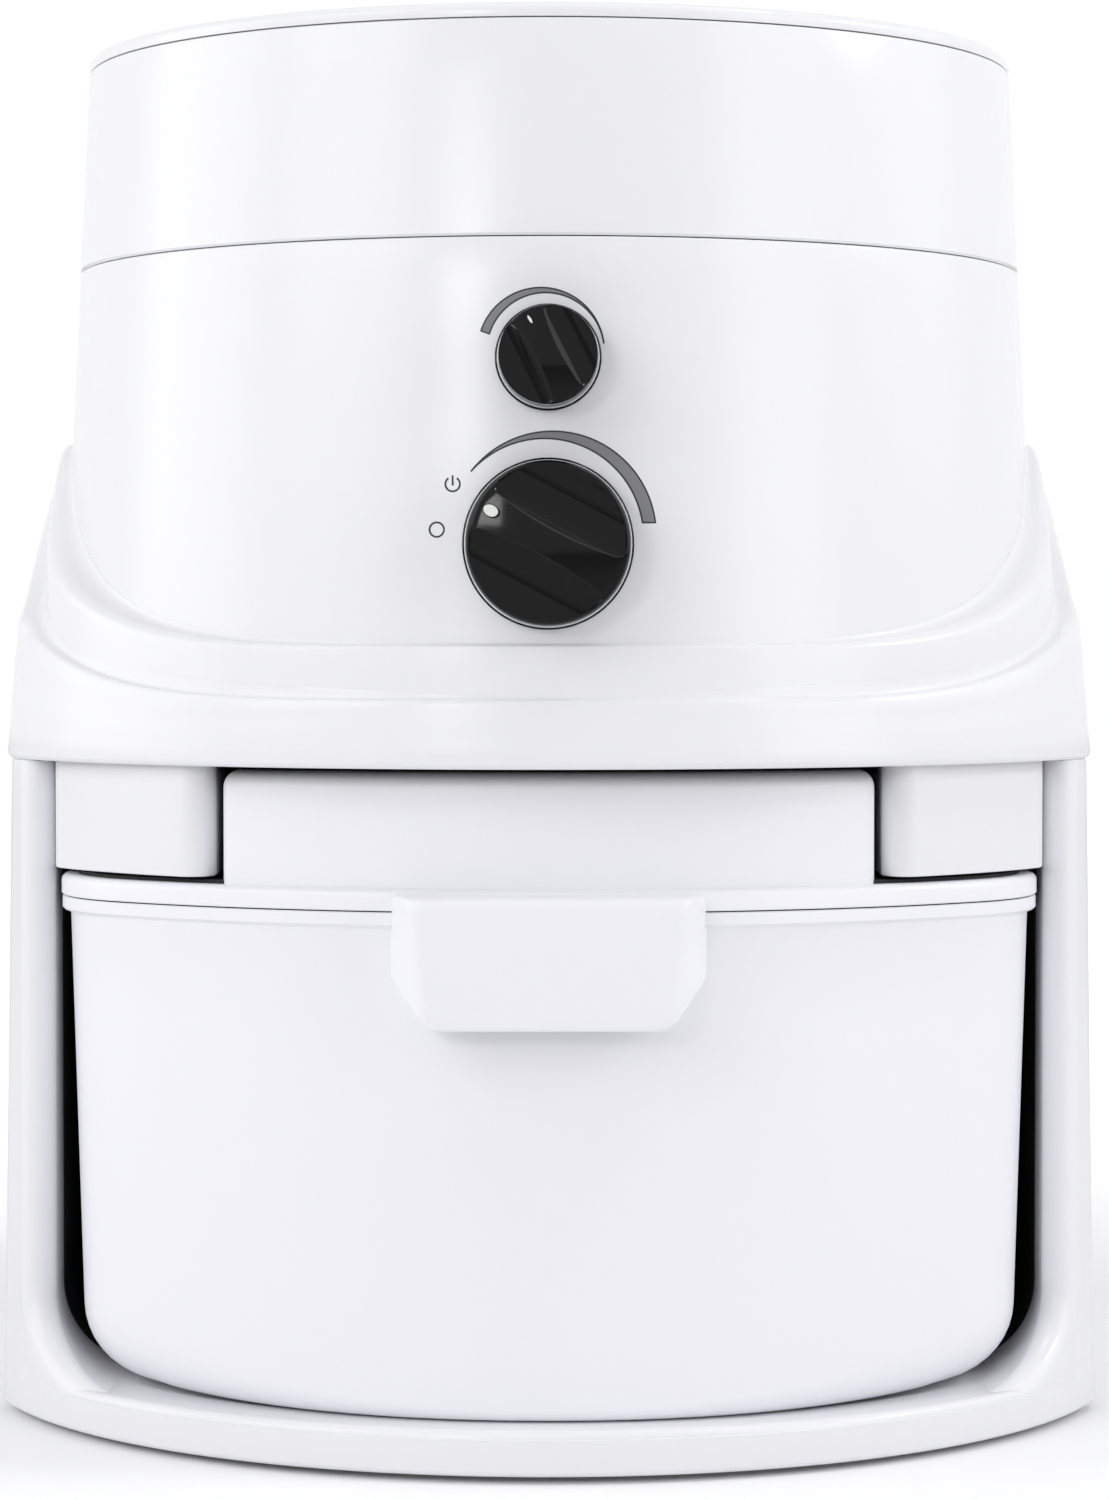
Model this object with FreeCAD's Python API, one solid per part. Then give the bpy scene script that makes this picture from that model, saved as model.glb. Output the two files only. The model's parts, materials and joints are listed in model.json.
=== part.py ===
"""Electric grain mill: every separate piece, one STEP file each. Millimetres, +Z up, -Y is the front."""
import FreeCAD
import Part
import math
import os

# Overall size and the levels of the outer shells
FOOT_DROP = 1.5
BASE_HALF = 123.5
BASE_FRONT = -127.0
BASE_BACK = 136.5
PLATE_TOP = 11.0
RECESS_TOP = 10.4
JOIN_Z = 147.8
PILLAR_TOP_HALF = 120.6
FRONT_RADIUS = 132.5
FRONT_CORNER = 12.0
BACK_CORNER = 34.0
HOPPER_SEAM = 258.0
LID_SEAM = 303.2
TOP_Z = 306.5
WALL = 3.0

# Hopper and drum, round about one upright axis
AXIS_Y = -11.5
DRUM_RADIUS = 108.0
DRUM_DRAFT = 0.0476
SEAM_GAP = 0.4

# Skirt terraces: bottom half width, top half width, front, side-view arc radius, ledge and shoulder heights
SKIRT_HALF = 121.4
SKIRT_TOP_HALF = 115.6
SKIRT_TOP_Z = 222.0
TERRACE_HALF = 114.4
TERRACE_TOP_HALF = 112.2
TERRACE_FRONT = -125.4
SWEEP_START_Y = -118.0
LOWER_LEDGE = 162.2
LOWER_SWEEP = 150.0
LOWER_SHOULDER = 212.5
UPPER_LEDGE = 173.5
UPPER_SWEEP = 120.0
UPPER_SHOULDER = 219.5
SHOULDER_ROUND = 30.0

# Bay that takes the bowl
BAY_HALF = 110.0
BAY_CORNER = 19.0
NOSE_RADIUS = 4.0
BAY_BACK = 104.5
LINER = 1.5
LINER_FRONT = -41.0
SHELF_RADIUS = 119.0

# Bowl, its lid and handle
BOWL_BOTTOM = 11.3
BOWL_RIM = 117.7
BOWL_TOP_HALF = 106.8
BOWL_BOTTOM_HALF = 103.2
BOWL_TOP_FRONT = -118.2
BOWL_BOTTOM_FRONT = -115.4
BOWL_TOP_BACK = 97.0
BOWL_BOTTOM_BACK = 94.2
BOWL_RADIUS = 140.0
BOWL_CORNER = 45.0
BOWL_ROUND = 20.0
BOWL_WALL = 2.5
RIM_BAND = 3.1
FLANGE_HALF = 108.8
FLANGE_FRONT = -119.8
FLANGE_BACK = 98.8
FLANGE_TOP = 122.6
BLOCK_HALF = 67.8
BLOCK_FRONT = -117.0
BLOCK_BACK = 90.0
BLOCK_TOP = 146.6
HANDLE_FRONT = -129.0
HANDLE_TOP = 121.6
HANDLE_BOTTOM = 93.2
HANDLE_TOP_HALF = 29.8
HANDLE_LOW_HALF = 27.2
HANDLE_WING_HALF = 33.6
HANDLE_WING_BOTTOM = 101.0
HANDLE_WALL = 2.5

# Guide blocks that hang beside the lid's raised block
GUIDE_INNER = 70.0
GUIDE_OUTER = 109.3
GUIDE_BOTTOM = 124.0
GUIDE_FRONT = -123.0
GUIDE_BACK = 20.0

# Flour chute and the port that it feeds
CHUTE_HALF = 14.0
CHUTE_FRONT = 46.8
CHUTE_BACK = 66.0
CHUTE_WALL = 1.8
CHUTE_TOP = 211.0

# Hopper extension, collar and funnel
SLEEVE_OUTER = 96.0
SLEEVE_INNER = 93.5
SLEEVE_BOTTOM = 204.0
COLLAR_GAP = 0.35
FUNNEL_OUTER = 93.1
FUNNEL_TOP = 285.0
THROAT_RADIUS = 14.0
THROAT_BOTTOM = 236.5
THROAT_TOP = 240.0

# Motor and mill, all round the drum axis
SHAFT_RADIUS = 4.0
RUNNING_GAP = 0.05
MOTOR_BOTTOM = 153.0
MOTOR_RADIUS = 46.0
CORE_BOTTOM = 173.0
CORE_TOP = 189.0
ARMATURE_RADIUS = 26.0
CHAMBER_BOTTOM = 197.0
CHAMBER_TOP = 212.0
CHAMBER_RADIUS = 58.0
HEAD_RADIUS = 50.0

# Knobs and the feed drive
FEED_Z = 194.3
SPEED_Z = 232.7
FEED_KNOB_RADIUS = 17.7
SPEED_KNOB_RADIUS = 11.0
KNOB_FRONT = -136.35
SPEED_KNOB_DEPTH = 12.0
KNOB_GAP = 0.35
FEED_REST_TURN = -60.0
SPEED_REST_TURN = -22.0
PINION_MODULE = 1.0
PINION_TEETH = 10
PINION_FRONT = -92.0
PINION_BACK = -84.0
SPINDLE_RADIUS = 2.5
RACK_TEETH = 10

UP = FreeCAD.Vector(0, 0, 1)
INWARD = FreeCAD.Vector(0, 1, 0)


def point(x, y, z):
    return FreeCAD.Vector(x, y, z)


def box(x0, x1, y0, y1, z0, z1):
    return Part.makeBox(x1 - x0, y1 - y0, z1 - z0, point(x0, y0, z0))


def post(radius, z0, z1, x=0.0, y=AXIS_Y):
    return Part.makeCylinder(radius, z1 - z0, point(x, y, z0), UP)


def ring(outer, inner, z0, z1, x=0.0, y=AXIS_Y):
    return post(outer, z0, z1, x, y).cut(post(inner, z0 - 1, z1 + 1, x, y))


def rod(radius, y0, y1, x, z):
    return Part.makeCylinder(radius, y1 - y0, point(x, y0, z), INWARD)


def taper(r0, r1, z0, z1):
    return Part.makeCone(r0, r1, z1 - z0, point(0, AXIS_Y, z0), UP)


def union(shapes):
    return shapes[0].multiFuse(shapes[1:]).removeSplitter()


def group(shapes):
    return Part.makeCompound(shapes)


def polar(radius, degrees):
    turn = math.radians(degrees)
    return radius * math.cos(turn), AXIS_Y + radius * math.sin(turn)


def plan_wire(half, front, back, radius, corner, back_corner, z):
    """Plan outline: bowed front, rounded front corners, straight sides, rounded back corners, flat back."""
    arc_y = front + radius
    cx = half - corner
    cy = arc_y - math.sqrt((radius - corner) ** 2 - cx ** 2)
    lean = math.atan2(cy - arc_y, cx)
    touch = (cx + corner * math.cos(lean), cy + corner * math.sin(lean))
    middle = (cx + corner * math.cos(lean / 2), cy + corner * math.sin(lean / 2))
    nip = back_corner * (1 - math.sqrt(0.5))

    def at(x, y):
        return point(x, y, z)

    edges = [
        Part.Arc(at(-touch[0], touch[1]), at(0, front), at(touch[0], touch[1])).toShape(),
        Part.Arc(at(touch[0], touch[1]), at(middle[0], middle[1]), at(half, cy)).toShape(),
        Part.LineSegment(at(half, cy), at(half, back - back_corner)).toShape(),
        Part.Arc(at(half, back - back_corner), at(half - nip, back - nip),
                 at(half - back_corner, back)).toShape(),
        Part.LineSegment(at(half - back_corner, back), at(back_corner - half, back)).toShape(),
        Part.Arc(at(back_corner - half, back), at(nip - half, back - nip),
                 at(-half, back - back_corner)).toShape(),
        Part.LineSegment(at(-half, back - back_corner), at(-half, cy)).toShape(),
        Part.Arc(at(-half, cy), at(-middle[0], middle[1]), at(-touch[0], touch[1])).toShape(),
    ]
    return Part.Wire(edges)


def plan_block(low, high, z0, z1):
    """Solid between two plan outlines, each given as half width, front, back, radius and both corners."""
    wires = [plan_wire(*low, z0), plan_wire(*high, z1)]
    return Part.makeLoft(wires, True, True)


def inset(plan, amount):
    """The same plan outline moved in by an even amount."""
    half, front, back, radius, corner, back_corner = plan
    return (half - amount, front + amount, back - amount, radius - amount, corner - amount,
            back_corner - amount)


def edges_at(shape, z, tolerance=0.05):
    """Edges that lie wholly at one height."""
    found = []
    for edge in shape.Edges:
        bounds = edge.BoundBox
        if abs(bounds.ZMin - z) < tolerance and abs(bounds.ZMax - z) < tolerance:
            found.append(edge)
    return found


def rounded(shape, radius, edges):
    """The shape with these edges rounded, or unchanged with a note where that can't be built."""
    try:
        result = shape.makeFillet(radius, edges)
        if result.isValid() and result.Volume > 0:
            return result
    except Part.OCCError:
        pass
    print("not rounded at", radius)
    return shape


def drum_radius(z):
    return DRUM_RADIUS + DRUM_DRAFT * (HOPPER_SEAM - z)


def sweep_cutter(ledge, radius, shoulder):
    """Everything above a terrace: level at the front, swept up in an arc, level again at the shoulder."""
    far = 200.0
    ceiling = 320.0
    turn = math.acos(1 - (shoulder - ledge) / (radius + SHOULDER_ROUND))

    def on_hollow(angle):
        return point(-far, SWEEP_START_Y + radius * math.sin(angle), ledge + radius * (1 - math.cos(angle)))

    meet = on_hollow(turn)
    crown_y = meet.y + SHOULDER_ROUND * math.sin(turn)

    def on_crown(angle):
        return point(-far, crown_y - SHOULDER_ROUND * math.sin(angle),
                     shoulder - SHOULDER_ROUND * (1 - math.cos(angle)))

    start = point(-far, -far, ledge)
    level = on_hollow(0)
    crest = on_crown(0)
    end = point(-far, far, shoulder)
    top_back = point(-far, far, ceiling)
    top_front = point(-far, -far, ceiling)
    edges = [
        Part.LineSegment(start, level).toShape(),
        Part.Arc(level, on_hollow(turn / 2), meet).toShape(),
        Part.Arc(meet, on_crown(turn / 2), crest).toShape(),
        Part.LineSegment(crest, end).toShape(),
        Part.LineSegment(end, top_back).toShape(),
        Part.LineSegment(top_back, top_front).toShape(),
        Part.LineSegment(top_front, start).toShape(),
    ]
    return Part.Face(Part.Wire(edges)).extrude(point(2 * far, 0, 0))


def skirt_body(shrink):
    """Drum and both terraces as one solid, drawn in by a wall thickness for the inside."""
    lower_plan = inset((SKIRT_HALF, BASE_FRONT, BASE_BACK, 134.0, 14.0, BACK_CORNER), shrink)
    lower_top = inset((SKIRT_TOP_HALF, BASE_FRONT + 4.5, BASE_BACK - 5.0, 129.0, 18.0, BACK_CORNER), shrink)
    upper_plan = inset((TERRACE_HALF, TERRACE_FRONT, 128.0, 126.0, 50.0, 60.0), shrink)
    upper_top = inset((TERRACE_TOP_HALF, TERRACE_FRONT + 2.4, 126.0, 124.0, 50.0, 60.0), shrink)
    lower = plan_block(lower_plan, lower_top, JOIN_Z, SKIRT_TOP_Z)
    upper = plan_block(upper_plan, upper_top, JOIN_Z, SKIRT_TOP_Z)
    lower = lower.cut(sweep_cutter(LOWER_LEDGE - shrink, LOWER_SWEEP, LOWER_SHOULDER - shrink))
    upper = upper.cut(sweep_cutter(UPPER_LEDGE - shrink, UPPER_SWEEP, UPPER_SHOULDER - shrink))
    drum_bottom = drum_radius(JOIN_Z) - shrink
    drum_top = drum_radius(HOPPER_SEAM) - shrink
    drum = taper(drum_bottom, drum_top, JOIN_Z, HOPPER_SEAM - 0.2)
    return lower, upper, drum


BASE_PLAN = (BASE_HALF, BASE_FRONT, BASE_BACK, FRONT_RADIUS, FRONT_CORNER, BACK_CORNER)
PILLAR_TOP_PLAN = (PILLAR_TOP_HALF, BASE_FRONT + 1.0, BASE_BACK, FRONT_RADIUS, FRONT_CORNER, BACK_CORNER)


def bay_prism(half, corner, floor, y0, y1):
    """Bay cavity as seen from the front: straight sides and rounded lower corners."""
    nip = corner * (1 - math.sqrt(0.5))
    top = JOIN_Z + 20

    def at(x, z):
        return point(x, y0, z)

    edges = [
        Part.LineSegment(at(-half, top), at(-half, floor + corner)).toShape(),
        Part.Arc(at(-half, floor + corner), at(nip - half, floor + nip), at(corner - half, floor)).toShape(),
        Part.LineSegment(at(corner - half, floor), at(half - corner, floor)).toShape(),
        Part.Arc(at(half - corner, floor), at(half - nip, floor + nip), at(half, floor + corner)).toShape(),
        Part.LineSegment(at(half, floor + corner), at(half, top)).toShape(),
        Part.LineSegment(at(half, top), at(-half, top)).toShape(),
    ]
    return Part.Face(Part.Wire(edges)).extrude(point(0, y1 - y0, 0))


FOOT_PLACES = [(x, y) for x in (-88.0, 88.0) for y in (-62.0, 108.0)]
FLOOR_SCREW_PLACES = [(x, y) for x in (-115.0, 115.0) for y in (-20.0, 70.0)]
COVER_HALF = 88.0
COVER_BOTTOM = 16.0
COVER_TOP = 140.0
COVER_THICK = 2.0
COVER_SCREW_PLACES = [(x, z) for x in (-83.0, 83.0) for z in (22.0, 134.0)]
GLAND_PLACE = (62.0, 34.0)


def pillar_nose_cutter(side):
    """Rounds the sharp upright edge where a pillar's bay wall meets the curved front."""
    centre_x = BAY_HALF + NOSE_RADIUS
    middle_y = BASE_FRONT + FRONT_RADIUS
    centre_y = middle_y - math.sqrt((FRONT_RADIUS - NOSE_RADIUS) ** 2 - centre_x ** 2)
    reach = 3 * NOSE_RADIUS
    slope = (middle_y - centre_y) / centre_x
    corners = [(BAY_HALF - 1, centre_y), (centre_x, centre_y), (centre_x + reach, centre_y - slope * reach),
               (centre_x + reach, centre_y - 2 * reach), (BAY_HALF - 1, centre_y - 2 * reach)]
    wedge = polygon_block([(side * x, y) for x, y in corners], PLATE_TOP + BAY_CORNER, JOIN_Z + 1)
    return wedge.cut(post(NOSE_RADIUS, PLATE_TOP, JOIN_Z + 2, side * centre_x, centre_y))


def polygon_block(corners, z0, z1):
    """Upright prism over the corner points of a plan."""
    ring_points = [point(x, y, z0) for x, y in corners]
    face = Part.Face(Part.makePolygon(ring_points + ring_points[:1]))
    return face.extrude(point(0, 0, z1 - z0))


def base_frame():
    body = plan_block(BASE_PLAN, PILLAR_TOP_PLAN, FOOT_DROP, JOIN_Z)
    lip_edges = edges_at(body, FOOT_DROP)
    body = rounded(body, 1.2, lip_edges)
    front_y = BASE_FRONT - 10
    inside_shelf = post(SHELF_RADIUS, 0, JOIN_Z + 20, 0, BASE_FRONT + FRONT_RADIUS)
    behind_shelf = box(-150, 150, BASE_FRONT + FRONT_RADIUS, 200, 0, JOIN_Z + 20)
    shallow = bay_prism(BAY_HALF, 3.0, PLATE_TOP, front_y, LINER_FRONT)
    deep = bay_prism(BAY_HALF, BAY_CORNER, RECESS_TOP, front_y, LINER_FRONT + 1)
    shelf_front = shallow.cut(inside_shelf).cut(behind_shelf)
    recess = deep.common(union([inside_shelf, behind_shelf]))
    liner_space = bay_prism(BAY_HALF + LINER, BAY_CORNER + LINER, RECESS_TOP - LINER, LINER_FRONT,
                            BAY_BACK + LINER)
    body = body.cut(shelf_front).cut(recess).cut(liner_space)
    hollow = plan_block(inset(BASE_PLAN, 4.0), inset(BASE_PLAN, 4.0), FOOT_DROP - 1, 6.4)
    bosses = [post(10, 5.0, 7.4, x, y) for x, y in FOOT_PLACES]
    body = union([body.cut(hollow)] + bosses)
    for x, y in FOOT_PLACES:
        body = body.cut(post(1.5, 4.0, 7.0, x, y))
    duct = box(-85, 85, 109, BASE_BACK + 1, 18, JOIN_Z + 1)
    ledge = box(-COVER_HALF, COVER_HALF, BASE_BACK - COVER_THICK, BASE_BACK + 1, COVER_BOTTOM, COVER_TOP)
    body = body.cut(duct).cut(ledge)
    lintel = box(-85, 85, 128, BASE_BACK, COVER_TOP, JOIN_Z)
    lugs = [box(x - 5, x + 5, 124, BASE_BACK - COVER_THICK, z - 5, z + 5) for x, z in COVER_SCREW_PLACES]
    body = union([body, lintel] + lugs)
    for x, z in COVER_SCREW_PLACES:
        body = body.cut(rod(1.5, 126, BASE_BACK, x, z))
    for x, y in FLOOR_SCREW_PLACES:
        body = body.cut(post(1.6, JOIN_Z - 10, JOIN_Z + 1, x, y))
    return body.cut(pillar_nose_cutter(-1)).cut(pillar_nose_cutter(1))


def bay_liner():
    outer = bay_prism(BAY_HALF + LINER, BAY_CORNER + LINER, RECESS_TOP - LINER, LINER_FRONT, BAY_BACK + LINER)
    inner = bay_prism(BAY_HALF, BAY_CORNER, RECESS_TOP, LINER_FRONT - 1, BAY_BACK)
    return outer.cut(inner).cut(box(-150, 150, -150, 150, JOIN_Z, 200))


def bottom_plate():
    plan = inset(BASE_PLAN, 4.2)
    plate = plan_block(plan, plan, 1.7, 3.7)
    for x, y in FOOT_PLACES:
        plate = plate.cut(post(8.2, 1, 5, x, y))
    return plate


def rubber_feet():
    feet = []
    for x, y in FOOT_PLACES:
        foot = post(8.0, 0, 5.0, x, y)
        foot = rounded(foot, 0.8, edges_at(foot, 0))
        feet.append(foot.cut(post(3.2, -1, 3.0, x, y)).cut(post(1.5, 2, 6, x, y)))
    return group(feet)


def foot_screws():
    screws = []
    for x, y in FOOT_PLACES:
        head = post(3.0, 1.0, 3.0, x, y).cut(box(x - 2, x + 2, y - 0.4, y + 0.4, 0.5, 1.8))
        screws.append(head.fuse(post(1.5, 3.0, 6.8, x, y)))
    return group(screws)


def rear_cover():
    plate = box(-COVER_HALF, COVER_HALF, BASE_BACK - COVER_THICK, BASE_BACK, COVER_BOTTOM, COVER_TOP)
    slots = []
    slot_pitch = 7.0
    for row in range(9):
        z = 66 + row * slot_pitch
        for x0, x1 in ((-60, -8), (8, 60)):
            slots.append(box(x0, x1, BASE_BACK - 4, BASE_BACK + 1, z, z + 3.2))
    plate = plate.cut(group(slots))
    plate = plate.cut(rod(9.0, BASE_BACK - 5, BASE_BACK + 1, *GLAND_PLACE))
    for x, z in COVER_SCREW_PLACES:
        plate = plate.cut(rod(1.5, BASE_BACK - 5, BASE_BACK + 1, x, z))
        plate = plate.cut(rod(3.0, BASE_BACK - 1.0, BASE_BACK + 1, x, z))
    return plate


def rear_cover_screws():
    screws = []
    for x, z in COVER_SCREW_PLACES:
        head = rod(2.9, BASE_BACK - 1.0, BASE_BACK - 0.1, x, z)
        head = head.cut(box(x - 2.2, x + 2.2, BASE_BACK - 0.6, BASE_BACK, z - 0.35, z + 0.35))
        screws.append(head.fuse(rod(1.5, 127, BASE_BACK - 1.0, x, z)))
    return group(screws)


def cord_gland():
    x, z = GLAND_PLACE
    back = BASE_BACK - COVER_THICK
    body = rod(9.0, 122, BASE_BACK, x, z)
    body = union([body, rod(12.0, back - 3, back, x, z)])
    body = body.cut(rod(3.5, 120, BASE_BACK + 1, x, z))
    return body


def housing_shell():
    lower, upper, drum = skirt_body(0.0)
    outer = union([lower, upper, drum])
    outer = rounded(outer, 1.2, edges_at(outer, JOIN_Z))
    inner_lower, inner_upper, inner_drum = skirt_body(WALL)
    through = post(drum_radius(HOPPER_SEAM) - WALL, HOPPER_SEAM - 5, HOPPER_SEAM + 5)
    start = box(-200, 200, -200, 200, JOIN_Z - 10, JOIN_Z)
    cavity = union([inner_lower, inner_upper, inner_drum, through])
    collar = ring(drum_radius(HOPPER_SEAM) - WALL / 2, SLEEVE_OUTER + COLLAR_GAP, HOPPER_SEAM - 3.2,
                  HOPPER_SEAM - 0.2)
    shell = union([outer.cut(cavity), collar])
    shell = shell.cut(rod(4.5, -130, -110, 0, FEED_Z))
    shell = shell.cut(rod(4.5, -130, -110, 0, SPEED_Z))
    return shell.cut(start)


def housing_floor():
    plan = inset((SKIRT_HALF, BASE_FRONT, BASE_BACK, 134.0, 14.0, BACK_CORNER), WALL + 0.5)
    plate = plan_block(plan, plan, JOIN_Z, JOIN_Z + 3)
    plate = plate.cut(box(-CHUTE_HALF, CHUTE_HALF, CHUTE_FRONT, CHUTE_BACK, JOIN_Z - 1, JOIN_Z + 5))
    plate = plate.cut(box(45, 75, 110, 127, JOIN_Z - 1, JOIN_Z + 5))
    plate = plate.cut(box(-75, -10, 110, 127, JOIN_Z - 1, JOIN_Z + 5))
    for x, y in FLOOR_SCREW_PLACES:
        plate = plate.cut(post(1.6, JOIN_Z - 1, JOIN_Z + 5, x, y))
    return plate


def housing_screws():
    screws = []
    top = JOIN_Z + 3
    for x, y in FLOOR_SCREW_PLACES:
        head = post(2.8, top, top + 2, x, y).cut(box(x - 2, x + 2, y - 0.35, y + 0.35, top + 1, top + 3))
        screws.append(head.fuse(post(1.6, JOIN_Z - 9, top, x, y)))
    return group(screws)


def guide_block(side, shrink, top):
    """One hanging block: its front follows the housing's lower edge, its inner corner is well rounded."""
    plan = inset((GUIDE_OUTER, GUIDE_FRONT, 100.0, 128.0, 16.0, 10.0), shrink)
    slab = plan_block(plan, plan, GUIDE_BOTTOM + shrink, top)
    inner = GUIDE_INNER + shrink
    cut = box(inner, 130, -140, GUIDE_BACK - shrink, GUIDE_BOTTOM - 5, JOIN_Z + 5)
    block = slab.common(cut)
    if side < 0:
        block = block.mirror(point(0, 0, 0), point(1, 0, 0))
    return block


def inner_front_edges(shape, x):
    """Upright edges at one side position."""
    found = []
    for edge in shape.Edges:
        bounds = edge.BoundBox
        upright = bounds.ZLength > 10 and bounds.XLength < 0.1
        if upright and abs(abs(bounds.XMin) - x) < 0.2 and bounds.YMin < 0:
            found.append(edge)
    return found


def guide_blocks():
    blocks = []
    for side in (-1, 1):
        block = guide_block(side, 0.0, JOIN_Z)
        block = rounded(block, 7.0, inner_front_edges(block, GUIDE_INNER))
        block = rounded(block, 0.8, edges_at(block, GUIDE_BOTTOM))
        blocks.append(block.cut(guide_block(side, 2.5, JOIN_Z + 1)))
    return group(blocks)


def hopper_extension():
    bottom = HOPPER_SEAM + SEAM_GAP / 2
    band = taper(drum_radius(bottom), drum_radius(LID_SEAM), bottom, LID_SEAM)
    band = rounded(band, 0.3, edges_at(band, bottom))
    band = band.cut(post(drum_radius(LID_SEAM) - WALL, bottom + 2.5, LID_SEAM + 1))
    band = band.cut(post(SLEEVE_INNER, bottom - 1, LID_SEAM))
    sleeve = ring(SLEEVE_OUTER, SLEEVE_INNER, SLEEVE_BOTTOM, bottom)
    return union([band, sleeve])


def hopper_lid():
    bottom = LID_SEAM + 0.25
    plate = post(drum_radius(LID_SEAM), bottom, TOP_Z)
    plate = rounded(plate, 1.8, edges_at(plate, TOP_Z))
    inner = drum_radius(LID_SEAM) - WALL - 0.35
    skirt = ring(inner, inner - 2.2, LID_SEAM - 5.5, bottom)
    finger = ring(24.0, 20.0, bottom - 6.0, bottom)
    return union([plate, skirt, finger])


def hopper_funnel():
    bore_top = FUNNEL_OUTER - 2.0
    points = [
        (THROAT_RADIUS, THROAT_BOTTOM), (THROAT_RADIUS, THROAT_TOP), (bore_top, FUNNEL_TOP - 2),
        (bore_top, FUNNEL_TOP), (FUNNEL_OUTER, FUNNEL_TOP), (FUNNEL_OUTER, 262.0),
        (FUNNEL_OUTER - 2.2, 262.0), (FUNNEL_OUTER - 2.2, FUNNEL_TOP - 6),
        (THROAT_RADIUS + 2.2, THROAT_TOP - 1.2),
        (THROAT_RADIUS + 2.2, THROAT_BOTTOM),
    ]
    corners = [point(r, AXIS_Y, z) for r, z in points]
    outline = Part.makePolygon(corners + [corners[0]])
    return Part.Face(outline).revolve(point(0, AXIS_Y, 0), UP, 360)


def funnel_posts():
    """Four legs that stand on the housing floor and carry the funnel."""
    legs = []
    for degrees in (45, 135, 225, 315):
        x, y = polar(80.0, degrees)
        legs.append(post(4.0, JOIN_Z + 3, 270.0, x, y))
    return group([leg.cut(hopper_funnel_envelope()) for leg in legs])


def hopper_funnel_envelope():
    """Space at and above the underside of the funnel cone."""
    low = THROAT_RADIUS + 2.2
    high = FUNNEL_OUTER - 2.2
    rise = FUNNEL_TOP - 6 - (THROAT_TOP - 1.2)
    cone = taper(low, high, THROAT_TOP - 1.2, THROAT_TOP - 1.2 + rise)
    return cone.fuse(post(high, THROAT_TOP - 1.2 + rise, 320))


def chamber_lugs(z0, z1, hole):
    lugs = []
    for degrees in (30, 120, 210, 300):
        x, y = polar(60.0, degrees)
        lugs.append(post(4.0, z0, z1, x, y))
    holes = []
    for degrees in (30, 120, 210, 300):
        x, y = polar(60.0, degrees)
        holes.append(post(hole, z0 - 1, z1 + 1, x, y))
    return lugs, holes


def chamber_body():
    cup = post(CHAMBER_RADIUS, CHAMBER_BOTTOM, CHAMBER_TOP)
    lugs, holes = chamber_lugs(CHAMBER_BOTTOM, CHAMBER_TOP, 1.5)
    cup = union([cup] + lugs)
    cup = cup.cut(post(CHAMBER_RADIUS - 2.5, CHAMBER_BOTTOM + 2.5, CHAMBER_TOP + 1))
    cup = cup.cut(post(11.0, CHAMBER_BOTTOM - 1, CHAMBER_BOTTOM + 5))
    cup = cup.cut(box(-12, 12, 30, 50, CHAMBER_BOTTOM + 2.5, CHAMBER_TOP - 1.5))
    return cup.cut(group(holes))


def chamber_gasket():
    return ring(CHAMBER_RADIUS - 0.3, CHAMBER_RADIUS - 2.3, CHAMBER_TOP, CHAMBER_TOP + 0.6)


def chamber_cover():
    bottom = CHAMBER_TOP + 0.6
    lugs, holes = chamber_lugs(bottom, bottom + 2.4, 1.5)
    plate = union([post(CHAMBER_RADIUS, bottom, bottom + 2.4)] + lugs)
    dish = taper(22.0, 30.0, bottom, bottom + 4.0)
    hollow = taper(19.0, 28.5, bottom - 0.05, bottom + 4.1)
    return union([plate, dish]).cut(hollow).cut(post(19.0, bottom - 1, bottom + 1)).cut(group(holes))


def chamber_screws():
    screws = []
    top = CHAMBER_TOP + 3.0
    for degrees in (30, 120, 210, 300):
        x, y = polar(60.0, degrees)
        screws.append(post(1.5, CHAMBER_BOTTOM + 2, top, x, y).fuse(post(2.9, top, top + 1.8, x, y)))
    return group(screws)


def tooth_ring(radius, count, z0, z1):
    """A circle of upright milling pins."""
    pins = []
    for index in range(count):
        x, y = polar(radius, index * 360.0 / count)
        pins.append(post(1.1, z0, z1, x, y))
    return pins


def fixed_head():
    top = CHAMBER_TOP + 0.6
    disc = ring(HEAD_RADIUS + 2, 16.0, top - 2.6, top)
    pins = tooth_ring(26.0, 16, top - 7.6, top - 2.6) + tooth_ring(38.0, 24, top - 7.6, top - 2.6)
    return union([disc] + pins)


def moving_head():
    bottom = CHAMBER_BOTTOM + 3.5
    disc = ring(HEAD_RADIUS, SHAFT_RADIUS, bottom, bottom + 2.2)
    pins = tooth_ring(20.0, 12, bottom + 2.2, bottom + 7.2) + tooth_ring(32.0, 20, bottom + 2.2, bottom + 7.2)
    pins += tooth_ring(44.0, 28, bottom + 2.2, bottom + 7.2)
    return union([disc] + pins)


def head_nut():
    bottom = CHAMBER_BOTTOM + 5.7
    corners = [point(*polar(7.0, 60 * k), bottom) for k in range(6)]
    nut = Part.Face(Part.makePolygon(corners + [corners[0]])).extrude(point(0, 0, 4.0))
    return nut.cut(post(SHAFT_RADIUS, bottom - 1, bottom + 5))


def motor_shaft():
    return post(SHAFT_RADIUS, MOTOR_BOTTOM + 2.5, CHAMBER_BOTTOM + 10)


def armature():
    core = ring(ARMATURE_RADIUS, SHAFT_RADIUS, CORE_BOTTOM, CORE_TOP)
    slots = []
    for index in range(12):
        slot = box(ARMATURE_RADIUS - 7, ARMATURE_RADIUS + 1, AXIS_Y - 0.9, AXIS_Y + 0.9,
                   CORE_BOTTOM - 1, CORE_TOP + 1)
        slot.rotate(point(0, AXIS_Y, 0), UP, index * 30.0)
        slots.append(slot)
    return core.cut(group(slots))


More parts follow.
